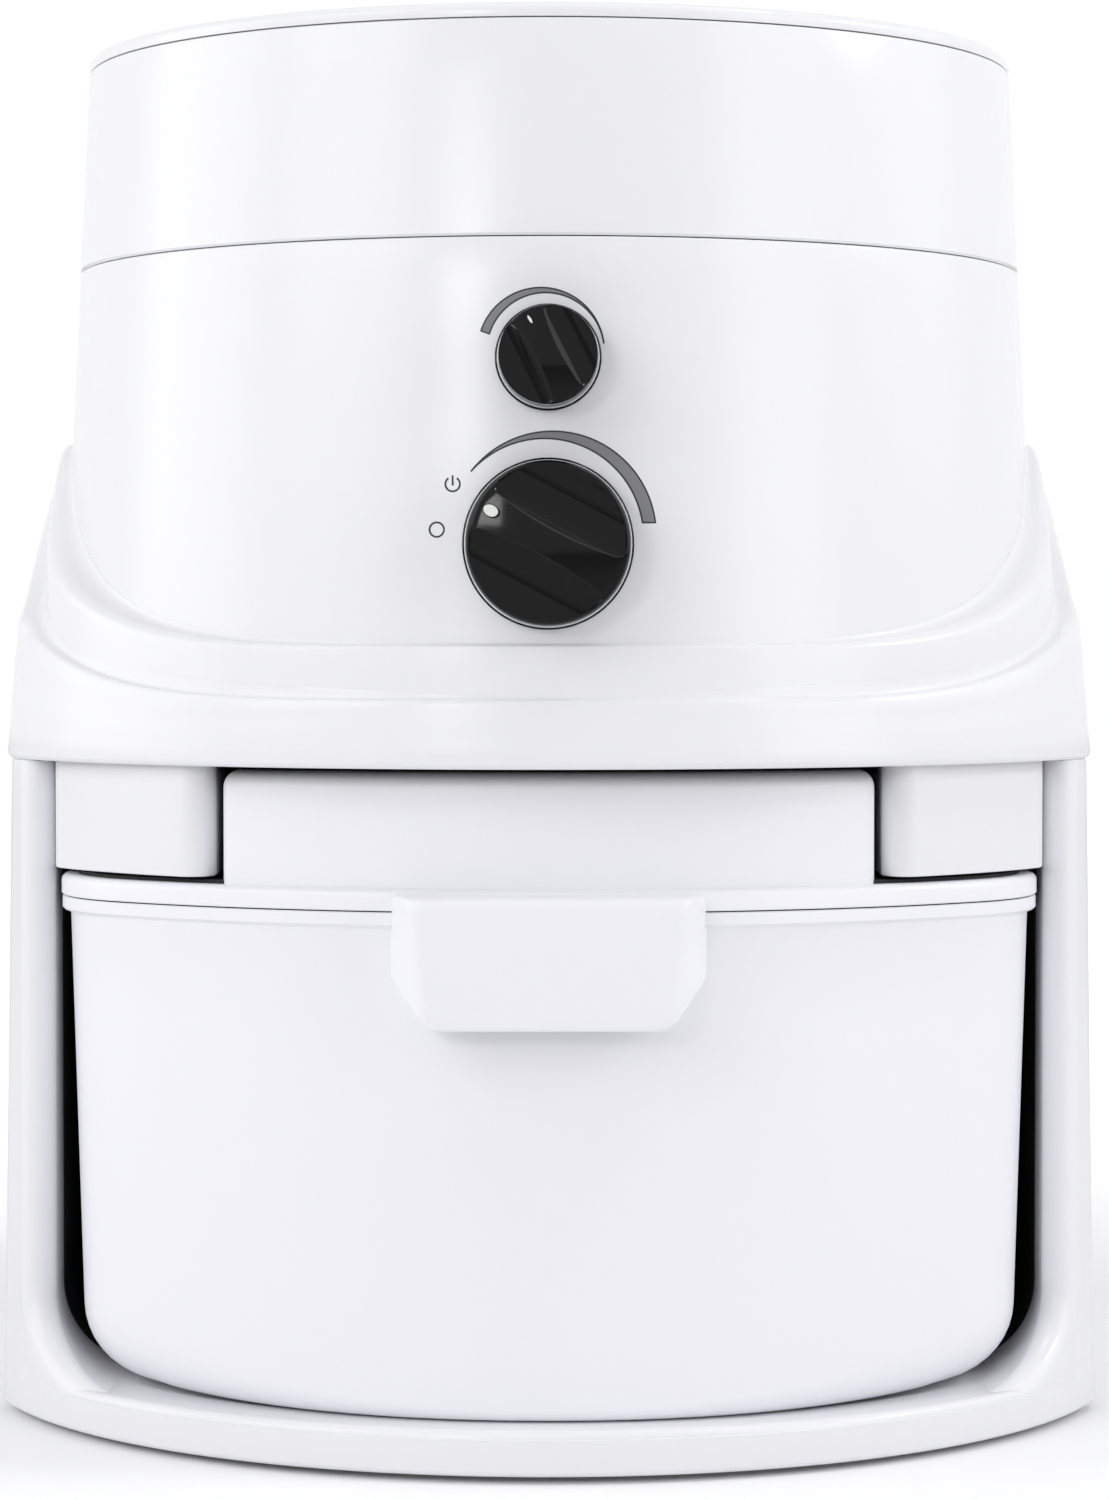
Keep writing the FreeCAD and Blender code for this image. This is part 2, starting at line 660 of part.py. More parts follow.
def commutator():
    core = ring(11.0, SHAFT_RADIUS, 164.0, 171.0)
    slots = []
    for index in range(24):
        slot = box(9.8, 12.0, AXIS_Y - 0.2, AXIS_Y + 0.2, 163.0, 172.0)
        slot.rotate(point(0, AXIS_Y, 0), UP, index * 15.0)
        slots.append(slot)
    return core.cut(group(slots))


def cooling_fan():
    hub = ring(8.0, SHAFT_RADIUS, 190.0, 193.4)
    disc = ring(24.0, 7.5, 190.0, 190.9)
    blades = []
    for index in range(11):
        blade = box(7.5, 24.0, AXIS_Y - 0.5, AXIS_Y + 0.5, 190.5, 193.4)
        blade.rotate(point(0, AXIS_Y, 0), UP, index * 360.0 / 11)
        blades.append(blade)
    return union([hub, disc] + blades)


def stator_core():
    core = ring(MOTOR_RADIUS - 2, ARMATURE_RADIUS + 0.6, CORE_BOTTOM, CORE_TOP)
    flats = [box(38, 60, -80, 60, CORE_BOTTOM - 1, CORE_TOP + 1),
             box(-60, -38, -80, 60, CORE_BOTTOM - 1, CORE_TOP + 1)]
    return core.cut(group(flats))


def field_coils():
    coils = []
    for z0, z1 in ((CORE_BOTTOM - 5, CORE_BOTTOM), (CORE_TOP, CORE_TOP + 4)):
        for side in (-1, 1):
            loop = ring(38.0, 28.0, z0, z1)
            near, away = (6, 45) if side > 0 else (-45, -6)
            keep = box(-40, 40, AXIS_Y + near, AXIS_Y + away, z0 - 1, z1 + 1)
            coils.append(loop.common(keep))
    return group(coils)


def motor_bracket(z0, z1, bore, boss_z0, boss_z1):
    """A cross-shaped end bracket with a bearing seat."""
    arms = [box(-MOTOR_RADIUS, MOTOR_RADIUS, AXIS_Y - 7, AXIS_Y + 7, z0, z1),
            box(-7, 7, AXIS_Y - MOTOR_RADIUS, AXIS_Y + MOTOR_RADIUS, z0, z1)]
    body = union(arms + [post(14.0, boss_z0, boss_z1)])
    return body.cut(post(bore, boss_z0 - 1, boss_z1 + 1))


def motor_brackets():
    """Lower bracket with the four stays, and the upper bracket that closes them."""
    body = motor_bracket(MOTOR_BOTTOM, MOTOR_BOTTOM + 2.5, 11.0, MOTOR_BOTTOM, MOTOR_BOTTOM + 9.5)
    stays = []
    for degrees in (0, 90, 180, 270):
        x, y = polar(MOTOR_RADIUS - 2.5, degrees)
        stays.append(box(x - 2, x + 2, y - 2, y + 2, MOTOR_BOTTOM + 2, 194.0))
    core_space = post(MOTOR_RADIUS - 2, CORE_BOTTOM, CORE_TOP)
    lower = union([body] + stays).cut(core_space).cut(post(11.0, MOTOR_BOTTOM - 1, MOTOR_BOTTOM + 20))
    upper = motor_bracket(194.0, CHAMBER_BOTTOM, 11.0, 194.0, CHAMBER_BOTTOM)
    return group([lower, upper])


def ball_bearing(z0):
    body = ring(11.0, SHAFT_RADIUS + RUNNING_GAP, z0, z0 + 6.0)
    groove = ring(8.6, 6.4, z0 - 1, z0 + 0.6)
    return body.cut(groove)


def ball_bearings():
    return group([ball_bearing(MOTOR_BOTTOM + 2.5), ball_bearing(194.0)])


def brush_parts(x0, x1, half, z0, z1):
    parts = []
    for side in (-1, 1):
        low, high = sorted((side * x0, side * x1))
        parts.append(box(low, high, AXIS_Y - half, AXIS_Y + half, z0, z1))
    return parts


def carbon_brushes():
    return group(brush_parts(11.2, 22.0, 2.5, 165.0, 170.0))


def brush_holders():
    outer = group(brush_parts(14.0, 27.0, 4.0, 163.5, 171.5))
    return outer.cut(group(brush_parts(10.0, 22.0, 2.5, 165.0, 170.0)))


def vibration_mounts():
    mounts = []
    for degrees in (0, 90, 180, 270):
        x, y = polar(MOTOR_RADIUS - 7, degrees)
        mounts.append(post(5.0, JOIN_Z + 3, MOTOR_BOTTOM, x, y))
    return group(mounts)


def flour_chute():
    outer = box(-CHUTE_HALF, CHUTE_HALF, CHUTE_FRONT, CHUTE_BACK, JOIN_Z, CHUTE_TOP)
    inner = box(-CHUTE_HALF + CHUTE_WALL, CHUTE_HALF - CHUTE_WALL, CHUTE_FRONT + CHUTE_WALL,
                CHUTE_BACK - CHUTE_WALL, JOIN_Z - 1, CHUTE_TOP - CHUTE_WALL)
    mouth = box(-11.5, 11.5, CHUTE_FRONT - 1, CHUTE_FRONT + 3, CHAMBER_BOTTOM + 3, CHAMBER_TOP - 3)
    return outer.cut(inner).cut(mouth)


def chute_gasket():
    outer = box(-CHUTE_HALF - 2, CHUTE_HALF + 2, CHUTE_FRONT - 2, CHUTE_BACK + 2, BLOCK_TOP + 0.3, JOIN_Z)
    inner = box(-CHUTE_HALF + CHUTE_WALL, CHUTE_HALF - CHUTE_WALL, CHUTE_FRONT + CHUTE_WALL,
                CHUTE_BACK - CHUTE_WALL, BLOCK_TOP, JOIN_Z + 1)
    return outer.cut(inner)


def knob_face_y(z):
    """Front of the drum wall at a height, on the centre line."""
    return AXIS_Y - drum_radius(z)


def knob_back(radius, z):
    """Back plane of a knob, clear of the sloping drum at the knob's lower edge."""
    return knob_face_y(z - radius) - KNOB_GAP


def knob(radius, z, turn, front):
    """Round skirt with a waisted grip bar that stands out of two finger hollows."""
    back = knob_back(radius, z)
    skirt_front = back - 3.5
    floor_front = back - 5.5
    skirt = rod(radius, skirt_front, back, 0, z)
    body = rod(radius - 0.7, floor_front, back, 0, z)
    bar = rod(radius - 1.0, front, back, 0, z)
    waist = radius * 0.2
    scoop_radius = radius * 2.9
    for side in (-1, 1):
        offset = side * (waist + scoop_radius)
        bar = bar.cut(rod(scoop_radius, front - 1, floor_front, offset, z))
    bar.rotate(point(0, 0, z), INWARD, turn)
    solid = union([skirt, body, bar])
    return rounded(solid, 0.6, front_rim_edges(solid, front))


def speed_knob_front():
    return knob_back(SPEED_KNOB_RADIUS, SPEED_Z) - SPEED_KNOB_DEPTH


def front_rim_edges(shape, y):
    found = []
    for edge in shape.Edges:
        bounds = edge.BoundBox
        if abs(bounds.YMin - y) < 0.05 and abs(bounds.YMax - y) < 0.05:
            found.append(edge)
    return found


def feed_knob():
    solid = knob(FEED_KNOB_RADIUS, FEED_Z, FEED_REST_TURN, KNOB_FRONT)
    return solid.cut(rod(3.0, knob_face_y(FEED_Z) - 9, -90, 0, FEED_Z))


def speed_knob():
    solid = knob(SPEED_KNOB_RADIUS, SPEED_Z, SPEED_REST_TURN, speed_knob_front())
    return solid.cut(rod(3.0, knob_face_y(SPEED_Z) - 9, -90, 0, SPEED_Z))


def knob_pointer(front, z, turn, reach, wide, tall):
    """Small oval mark on the grip bar near its pointing end."""
    mark = rod(wide, front - 0.12, front, 0, z + reach)
    trim = box(-wide, wide, front - 1, front + 1, z + reach - tall, z + reach + tall)
    mark = mark.common(trim)
    mark.rotate(point(0, 0, z), INWARD, turn)
    return mark


def feed_pointer():
    return knob_pointer(KNOB_FRONT, FEED_Z, FEED_REST_TURN, 12.6, 1.6, 1.2)


def speed_pointer():
    return knob_pointer(speed_knob_front(), SPEED_Z, SPEED_REST_TURN, 8.0, 0.8, 0.7)


def feed_shaft():
    front = knob_face_y(FEED_Z) - 9
    return union([rod(3.0, front, -104, 0, FEED_Z), rod(SPINDLE_RADIUS, -104.5, -78.5, 0, FEED_Z)])


def speed_shaft():
    front = knob_face_y(SPEED_Z) - 9
    return rod(3.0, front, -111.5, 0, SPEED_Z)


def panel_bushings():
    bushings = []
    for z in (FEED_Z, SPEED_Z):
        wall_front = knob_face_y(z) + 0.2
        bushing = rod(4.5, wall_front, wall_front + 4.5, 0, z)
        bushings.append(bushing.cut(rod(3.0 + RUNNING_GAP, wall_front - 1, wall_front + 6, 0, z)))
    return group(bushings)


def speed_control():
    body = rod(8.0, -115.5, -109.5, 0, SPEED_Z)
    body = body.fuse(box(-5, 5, -111.5, -109.5, SPEED_Z - 14, SPEED_Z - 6))
    return body.cut(rod(3.0 + RUNNING_GAP, -117, -111.4, 0, SPEED_Z))


def gear_tooth(root_half, tip_half, base, tip):
    """One straight-sided tooth as a flat outline, pointing along +X."""
    corners = [point(base, 0, -root_half), point(tip, 0, -tip_half), point(tip, 0, tip_half),
               point(base, 0, root_half)]
    return Part.Face(Part.makePolygon(corners + [corners[0]]))


def feed_pinion():
    pitch_radius = PINION_MODULE * PINION_TEETH / 2
    hub = rod(pitch_radius - 1.1, PINION_FRONT, PINION_BACK, 0, FEED_Z)
    teeth = []
    for index in range(PINION_TEETH):
        tooth = gear_tooth(0.75, 0.35, pitch_radius - 1.4, pitch_radius + 0.9)
        tooth = tooth.extrude(point(0, PINION_BACK - PINION_FRONT, 0))
        tooth.translate(point(0, PINION_FRONT, FEED_Z))
        tooth.rotate(point(0, 0, FEED_Z), INWARD, (index + 0.5) * 360.0 / PINION_TEETH)
        teeth.append(tooth)
    return union([hub] + teeth).cut(rod(SPINDLE_RADIUS, -95, -80, 0, FEED_Z))


def feed_rack():
    """Toothed upright bar with the arm that carries the feed cone."""
    pitch_radius = PINION_MODULE * PINION_TEETH / 2
    pitch = math.pi * PINION_MODULE
    back_of_teeth = pitch_radius + 1.2
    bar = box(back_of_teeth, 11.0, PINION_FRONT, PINION_BACK, 180.0, 233.0)
    teeth = []
    for index in range(RACK_TEETH):
        z = FEED_Z + (index - 2) * pitch
        tooth = gear_tooth(0.75, 0.35, 0.0, 2.0)
        tooth = tooth.extrude(point(0, PINION_BACK - PINION_FRONT, 0))
        tooth.rotate(point(0, 0, 0), INWARD, 180)
        tooth.translate(point(back_of_teeth + 0.05, PINION_FRONT, z))
        teeth.append(tooth)
    reach = box(4.0, 9.0, PINION_BACK - 1, AXIS_Y, 230.5, 233.0)
    pad = post(7.0, 230.5, 233.0)
    return union([bar, reach, pad] + teeth)


def feed_cone():
    stem = post(4.0, 233.0, 238.0)
    land = post(THROAT_RADIUS - 0.4, 238.0, 241.0)
    tip = taper(THROAT_RADIUS - 0.4, 2.5, 241.0, 249.0)
    return union([stem, land, tip])


def feed_bracket():
    """Stand for the feed drive: rack channel, rear spindle bearing and a shelf for the switch."""
    base_z = JOIN_Z + 3
    foot = box(-24, 18, -112, -78, base_z, base_z + 2.5)
    column = box(6.6, 16.0, -94.0, -82.0, base_z, 216.0)
    channel = box(6.0, 11.1, -92.1, -83.9, base_z + 2.5, 220.0)
    web = box(-8, 16, -82.0, -79.0, base_z, 204.0)
    web = web.cut(rod(SPINDLE_RADIUS + RUNNING_GAP, -83, -78, 0, FEED_Z))
    shelf_post = box(-22, -10, -110, -103, base_z, 176.0)
    return union([foot, column.cut(channel), web, shelf_post])


def start_switch():
    body = box(-24, 4, -111, -102, 176.0, 186.0)
    plunger = rod(1.0, -107.5, -105.5, 0, 186.2)
    return union([body, plunger.common(box(-2, 2, -110, -100, 185.5, 187.0))])


def switch_cam():
    disc = rod(6.8, -109.0, -104.5, 0, FEED_Z)
    notch = box(-8, -4.5, -110, -103, FEED_Z - 3, FEED_Z + 3)
    return disc.cut(notch).cut(rod(3.0, -111, -100, 0, FEED_Z))


def control_board():
    base_z = JOIN_Z + 3
    board = box(26, 72, -98, -74, base_z + 4, base_z + 5.6)
    stands = [box(x, x + 4, y, y + 4, base_z, base_z + 4) for x in (27, 67) for y in (-97, -79)]
    top = base_z + 5.6
    capacitor = post(6.0, top, top + 14, 36, -88)
    relay = box(46, 58, -95, -87, top, top + 10)
    heat_sink = box(50, 68, -83, -75, top, top + 16)
    return union([board] + stands + [capacitor, relay, heat_sink])


def bowl_outer():
    high = (BOWL_TOP_HALF, BOWL_TOP_FRONT, BOWL_TOP_BACK, BOWL_RADIUS, BOWL_CORNER, BOWL_CORNER)
    low = (BOWL_BOTTOM_HALF, BOWL_BOTTOM_FRONT, BOWL_BOTTOM_BACK, BOWL_RADIUS, BOWL_CORNER, BOWL_CORNER)
    return low, high


def bowl():
    low, high = bowl_outer()
    outer = plan_block(low, high, BOWL_BOTTOM, BOWL_RIM)
    outer = rounded(outer, BOWL_ROUND, edges_at(outer, BOWL_BOTTOM))
    inner = plan_block(inset(low, BOWL_WALL), inset(high, BOWL_WALL), BOWL_BOTTOM + BOWL_WALL,
                       BOWL_RIM + 0.01)
    inner = rounded(inner, BOWL_ROUND - BOWL_WALL, edges_at(inner, BOWL_BOTTOM + BOWL_WALL))
    rim_plan = (FLANGE_HALF - 0.2, FLANGE_FRONT + 0.2, FLANGE_BACK - 0.2, BOWL_RADIUS,
                BOWL_CORNER, BOWL_CORNER)
    rim = plan_block(rim_plan, rim_plan, BOWL_RIM - RIM_BAND, BOWL_RIM)
    return union([outer, rim]).cut(inner)


def handle_loft(front_y, back_y, top, shrink):
    """Hooded finger pull: narrow face in front, flaring side walls towards the bowl."""
    face = [(-HANDLE_TOP_HALF, top), (HANDLE_TOP_HALF, top), (HANDLE_LOW_HALF, HANDLE_BOTTOM),
            (-HANDLE_LOW_HALF, HANDLE_BOTTOM)]
    root = [(-HANDLE_WING_HALF, top), (HANDLE_WING_HALF, top), (HANDLE_WING_HALF - 0.8, HANDLE_WING_BOTTOM),
            (0.8 - HANDLE_WING_HALF, HANDLE_WING_BOTTOM)]
    wires = []
    for outline, y in ((face, front_y), (root, back_y)):
        corners = []
        for x, z in outline:
            side = math.copysign(shrink, x)
            drop = 0.0 if z == top else -20.0 * (shrink > 0)
            corners.append(point(x - side, y, z + drop))
        wires.append(Part.makePolygon(corners + [corners[0]]))
    return Part.makeLoft(wires, True, True)


def bowl_handle():
    root_y = -112.0
    hood = handle_loft(HANDLE_FRONT, root_y, HANDLE_TOP, 0.0)
    hood = rounded(hood, 2.0, long_front_edges(hood, HANDLE_FRONT))
    cavity = handle_loft(HANDLE_FRONT + HANDLE_WALL, root_y, HANDLE_TOP - 3.0, HANDLE_WALL)
    hood = hood.cut(cavity)
    low, high = bowl_outer()
    wall = plan_block(low, high, BOWL_BOTTOM, BOWL_RIM)
    rim_plan = (FLANGE_HALF, FLANGE_FRONT, FLANGE_BACK, BOWL_RADIUS, BOWL_CORNER, BOWL_CORNER)
    rim = plan_block(rim_plan, rim_plan, BOWL_RIM - RIM_BAND, FLANGE_TOP + 1)
    return hood.cut(wall).cut(rim)


def long_front_edges(shape, y):
    found = []
    for edge in shape.Edges:
        bounds = edge.BoundBox
        if bounds.YMin > y - 0.1 and bounds.YMax < y + 0.1:
            found.append(edge)
    return found


def block_plan(shrink):
    return box(-BLOCK_HALF + shrink, BLOCK_HALF - shrink, -140, BLOCK_BACK - shrink,
               FLANGE_TOP - 10, BLOCK_TOP + 5)


def bowl_lid():
    flange_plan = (FLANGE_HALF, FLANGE_FRONT, FLANGE_BACK, BOWL_RADIUS, BOWL_CORNER, BOWL_CORNER)
    bottom = BOWL_RIM + 0.3
    flange = plan_block(flange_plan, flange_plan, bottom, FLANGE_TOP)
    flange = rounded(flange, 1.6, edges_at(flange, FLANGE_TOP))
    tall_low = (FLANGE_HALF, BLOCK_FRONT, FLANGE_BACK, BOWL_RADIUS, BOWL_CORNER, BOWL_CORNER)
    tall = plan_block(tall_low, tall_low, FLANGE_TOP - 2, BLOCK_TOP)
    block = tall.common(block_plan(0.0))
    block = rounded(block, 2.4, edges_at(block, BLOCK_TOP))
    lid = union([flange, block])
    under_plan = inset(flange_plan, 6.0)
    under = plan_block(under_plan, under_plan, bottom - 1, FLANGE_TOP - 2.2)
    hollow_low = inset(tall_low, 2.5)
    hollow = plan_block(hollow_low, hollow_low, bottom - 1, BLOCK_TOP - 2.5).common(block_plan(2.5).fuse(
        box(-BLOCK_HALF + 2.5, BLOCK_HALF - 2.5, -140, BLOCK_BACK - 2.5, 100, FLANGE_TOP)))
    lid = lid.cut(under).cut(hollow)
    port = box(-CHUTE_HALF + CHUTE_WALL, CHUTE_HALF - CHUTE_WALL, CHUTE_FRONT + CHUTE_WALL,
               CHUTE_BACK - CHUTE_WALL, BLOCK_TOP - 5, BLOCK_TOP + 1)
    lid = lid.cut(port)
    filter_seat = post(30.2, BLOCK_TOP - 3, BLOCK_TOP + 1, 0, -45)
    return lid.cut(filter_seat)


def lid_gasket():
    outer_plan = (FLANGE_HALF - 1.2, FLANGE_FRONT + 1.2, FLANGE_BACK - 1.2, BOWL_RADIUS,
                  BOWL_CORNER - 1, BOWL_CORNER - 1)
    outer = plan_block(outer_plan, outer_plan, BOWL_RIM, BOWL_RIM + 0.3)
    hole_plan = inset(outer_plan, 4.0)
    return outer.cut(plan_block(hole_plan, hole_plan, BOWL_RIM - 1, BOWL_RIM + 1))


def filter_cup():
    """Slotted cup let into the lid, which holds the foam filter."""
    cup = post(30.0, BLOCK_TOP - 14, BLOCK_TOP - 0.4, 0, -45)
    cup = cup.cut(post(28.0, BLOCK_TOP - 12, BLOCK_TOP + 1, 0, -45))
    slots = []
    for index in range(5):
        x = -20 + index * 10
        slots.append(box(x - 1.6, x + 1.6, -63, -27, BLOCK_TOP - 15, BLOCK_TOP - 11))
    return cup.cut(group(slots))


def foam_filter():
    return post(27.8, BLOCK_TOP - 12, BLOCK_TOP - 4, 0, -45)


def filter_cap():
    top = BLOCK_TOP - 0.6
    cap = post(27.8, top - 3.0, top, 0, -45)
    slots = []
    for index in range(7):
        x = -18 + index * 6
        slots.append(box(x - 1.2, x + 1.2, -60, -30, top - 5, top + 1))
    return cap.cut(group(slots))


def separator_cup():
    """Open cup under the flour port that spins the flour out of the air."""
    bottom = BOWL_RIM - 22
    x, y = 0.0, (CHUTE_FRONT + CHUTE_BACK) / 2
    cup = post(24.0, bottom, BLOCK_TOP - 2.6, x, y).cut(post(22.5, bottom + 1.5, BLOCK_TOP, x, y))
    cup = cup.cut(box(-20, 20, y - 30, y, bottom + 1.5, bottom + 24))
    return cup


def deck_seal():
    """Dark sealing strip that lies on the lid flange under each guide block."""
    plan = (FLANGE_HALF - 4.0, FLANGE_FRONT + 4.0, 60.0, BOWL_RADIUS, BOWL_CORNER - 4, 8.0)
    slab = plan_block(plan, plan, FLANGE_TOP, FLANGE_TOP + 0.7)
    return slab.cut(box(-BLOCK_HALF - 1.0, BLOCK_HALF + 1.0, -140, 70, 100, 140))


PIECES = {
    "base_frame": base_frame, "bay_liner": bay_liner, "bottom_plate": bottom_plate,
    "rubber_feet": rubber_feet,
    "foot_screws": foot_screws, "rear_cover": rear_cover, "rear_cover_screws": rear_cover_screws,
    "cord_gland": cord_gland, "housing_shell": housing_shell, "housing_floor": housing_floor,
    "housing_screws": housing_screws, "guide_blocks": guide_blocks,
    "hopper_extension": hopper_extension, "hopper_lid": hopper_lid, "hopper_funnel": hopper_funnel,
    "funnel_posts": funnel_posts, "chamber_body": chamber_body,
    "chamber_gasket": chamber_gasket, "chamber_cover": chamber_cover, "chamber_screws": chamber_screws,
    "fixed_head": fixed_head, "moving_head": moving_head, "head_nut": head_nut, "motor_shaft": motor_shaft,
    "armature": armature, "commutator": commutator, "cooling_fan": cooling_fan, "stator_core": stator_core,
    "field_coils": field_coils, "motor_brackets": motor_brackets, "ball_bearings": ball_bearings,
    "carbon_brushes": carbon_brushes, "brush_holders": brush_holders, "vibration_mounts": vibration_mounts,
    "flour_chute": flour_chute, "chute_gasket": chute_gasket,
    "feed_knob": feed_knob, "speed_knob": speed_knob,
    "feed_pointer": feed_pointer, "speed_pointer": speed_pointer, "feed_shaft": feed_shaft,
    "speed_shaft": speed_shaft, "panel_bushings": panel_bushings, "speed_control": speed_control,
    "feed_pinion": feed_pinion, "feed_rack": feed_rack, "feed_cone": feed_cone, "feed_bracket": feed_bracket,
    "start_switch": start_switch, "switch_cam": switch_cam, "control_board": control_board,
    "bowl": bowl, "bowl_handle": bowl_handle, "bowl_lid": bowl_lid,
    "lid_gasket": lid_gasket, "filter_cup": filter_cup, "foam_filter": foam_filter, "filter_cap": filter_cap,
    "separator_cup": separator_cup, "deck_seal": deck_seal,
}


def main():
    os.makedirs("parts", exist_ok=True)
    for name, make in PIECES.items():
        shape = make()
        shape.exportStep("parts/" + name + ".step")
        bounds = shape.BoundBox
        print("%-20s valid %s solids %d volume %.0f z %.1f to %.1f" % (
            name, shape.isValid(), len(shape.Solids), shape.Volume, bounds.ZMin, bounds.ZMax))


main()
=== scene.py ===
"""Electric grain mill: the visual model over the engineering frame, with materials, lights and camera."""
import json
import logging
import math
from contextlib import contextmanager
from dataclasses import dataclass, field
from enum import Enum
from functools import cache
from typing import Callable, Iterator

import bmesh
import bpy
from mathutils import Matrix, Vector, kdtree


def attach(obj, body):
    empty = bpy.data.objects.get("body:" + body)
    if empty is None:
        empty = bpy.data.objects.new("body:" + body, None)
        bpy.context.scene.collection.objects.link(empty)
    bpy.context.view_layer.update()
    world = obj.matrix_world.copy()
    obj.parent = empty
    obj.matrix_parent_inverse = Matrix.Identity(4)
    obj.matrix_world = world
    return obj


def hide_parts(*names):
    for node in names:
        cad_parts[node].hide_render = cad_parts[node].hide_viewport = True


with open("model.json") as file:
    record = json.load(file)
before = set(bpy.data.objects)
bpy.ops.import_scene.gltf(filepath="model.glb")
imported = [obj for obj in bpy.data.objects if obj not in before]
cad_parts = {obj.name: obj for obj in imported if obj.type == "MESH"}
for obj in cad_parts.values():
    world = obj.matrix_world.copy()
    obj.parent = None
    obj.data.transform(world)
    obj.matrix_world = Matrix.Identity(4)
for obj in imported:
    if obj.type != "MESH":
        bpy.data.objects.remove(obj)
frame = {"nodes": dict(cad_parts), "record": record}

LOG = logging.getLogger("mill")
MM = 0.001
# Depth of the upright axis of the drum, the hopper and the mill, in millimetres
AXIS_Y = -11.5
# Size of the slow change in gloss over a surface, in millimetres
WEAR_MM = 45.0
# Pattern units to one band of the wave texture
WAVE_PERIOD = 6
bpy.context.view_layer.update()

Point = tuple[float, float, float]
Ring = list[Point]
Outline = list[tuple[float, float]]


def clear_selection() -> None:
    """Deselects every object."""
    bpy.ops.object.select_all(action="DESELECT")


def focus(obj: bpy.types.Object) -> None:
    """Makes one object the only selected and active one.

    Args:
        obj: the object to work on.
    """
    clear_selection()
    obj.select_set(True)
    bpy.context.view_layer.objects.active = obj


@contextmanager
def editing(obj: bpy.types.Object) -> Iterator[bmesh.types.BMesh]:
    """Opens an object in edit mode and closes it again.

    Args:
        obj: the mesh object.

    Returns:
        The edit mesh, while the block runs.
    """
    focus(obj)
    bpy.ops.object.mode_set(mode="EDIT")
    yield bmesh.from_edit_mesh(obj.data)
    bpy.ops.object.mode_set(mode="OBJECT")


def apply(obj: bpy.types.Object, kind: str, **settings: object) -> None:
    """Adds a modifier and applies it.

    Args:
        obj: the object to change.
        kind: the modifier's type.
        settings: its values.
    """
    focus(obj)
    modifier = obj.modifiers.new(kind.title(), kind)
    for key, value in settings.items():
        setattr(modifier, key, value)
    bpy.ops.object.modifier_apply(modifier=modifier.name)


def carve(target: bpy.types.Object, cutter: bpy.types.Object, operation: str = "DIFFERENCE") -> None:
    """Cuts, joins or intersects one closed solid with another, and removes the second.

    Args:
        target: the solid that is kept.
        cutter: the solid that is used up.
        operation: DIFFERENCE, UNION or INTERSECT.
    """
    apply(target, "BOOLEAN", object=cutter, operation=operation, solver="EXACT")
    bpy.data.objects.remove(cutter)


def soften(obj: bpy.types.Object, angle: float = 32.0) -> bpy.types.Object:
    """Closes seams, turns the faces outwards and smooths them by angle.

    Args:
        obj: the finished solid.
        angle: edges sharper than this many degrees stay sharp.

    Returns:
        The same object.
    """
    with editing(obj):
        bpy.ops.mesh.select_all(action="SELECT")
        bpy.ops.mesh.remove_doubles(threshold=0.000004)
        bpy.ops.mesh.normals_make_consistent(inside=False)
    focus(obj)
    bpy.ops.object.shade_smooth_by_angle(angle=math.radians(angle))
    return obj


def join(first: bpy.types.Object, *others: bpy.types.Object) -> bpy.types.Object:
    """Joins finished solids into one object.

    Args:
        first: the object that stays.
        others: the objects that go into it.

    Returns:
        The joined object.
    """
    clear_selection()
    for obj in others:
        obj.select_set(True)
    first.select_set(True)
    bpy.context.view_layer.objects.active = first
    bpy.ops.object.join()
    return first


def ringed(name: str, rings: list[Ring], closed: bool = False) -> bpy.types.Object:
    """Grows a solid by extruding one ring of points into the next.

    Args:
        name: the object's name.
        rings: rings of equal length, in millimetres.
        closed: True if the last ring meets the first, False if both ends are capped.

    Returns:
        The object, with its origin at the row's origin.
    """
    count = len(rings[0])
    bpy.ops.mesh.primitive_circle_add(vertices=count, radius=1.0, fill_type="NOTHING" if closed else "NGON")
    obj = bpy.context.active_object
    obj.name = name
    obj.data.name = name
    placed = [[Vector(p) * MM for p in ring] for ring in rings]
    with editing(obj) as mesh:
        mesh.verts.ensure_lookup_table()
        for vertex, place in zip(mesh.verts, placed[0]):
            vertex.co = place
        bmesh.update_edit_mesh(obj.data)
        bpy.ops.mesh.select_all(action="SELECT")
        for before, after in zip(placed, placed[1:]):
            tree = kdtree.KDTree(count)
            for index, place in enumerate(before):
                tree.insert(place, index)
            tree.balance()
            bpy.ops.mesh.extrude_region_move()
            mesh = bmesh.from_edit_mesh(obj.data)
            for vertex in mesh.verts:
                if vertex.select:
                    vertex.co = after[tree.find(vertex.co)[1]]
            bmesh.update_edit_mesh(obj.data)
    return soften(obj)


def lathe(name: str, profile: Outline, closed: bool = True, y: float = AXIS_Y,
          steps: int = 160) -> bpy.types.Object:
    """Turns a profile about an upright axis.

    Args:
        name: the object's name.
        profile: (radius, height) pairs in millimetres.
        closed: True for a ring-shaped solid, False for one with flat caps.
        y: the axis's place in depth.
        steps: points around.

    Returns:
        The solid.
    """
    turns = [2 * math.pi * k / steps for k in range(steps)]
    rings = [[(radius * math.cos(a), y + radius * math.sin(a), z) for a in turns] for radius, z in profile]
    if closed:
        rings.append(rings[0])
    return ringed(name, rings, closed)


def block(name: str, x0: float, x1: float, y0: float, y1: float, z0: float, z1: float) -> bpy.types.Object:
    """Makes a plain box between six planes, in millimetres.

    Args:
        name: the object's name.
        x0: left side.
        x1: right side.
        y0: front.
        y1: back.
        z0: bottom.
        z1: top.

    Returns:
        The box.
    """
    return ringed(name, [[(x0, y0, z), (x1, y0, z), (x1, y1, z), (x0, y1, z)] for z in (z0, z1)])


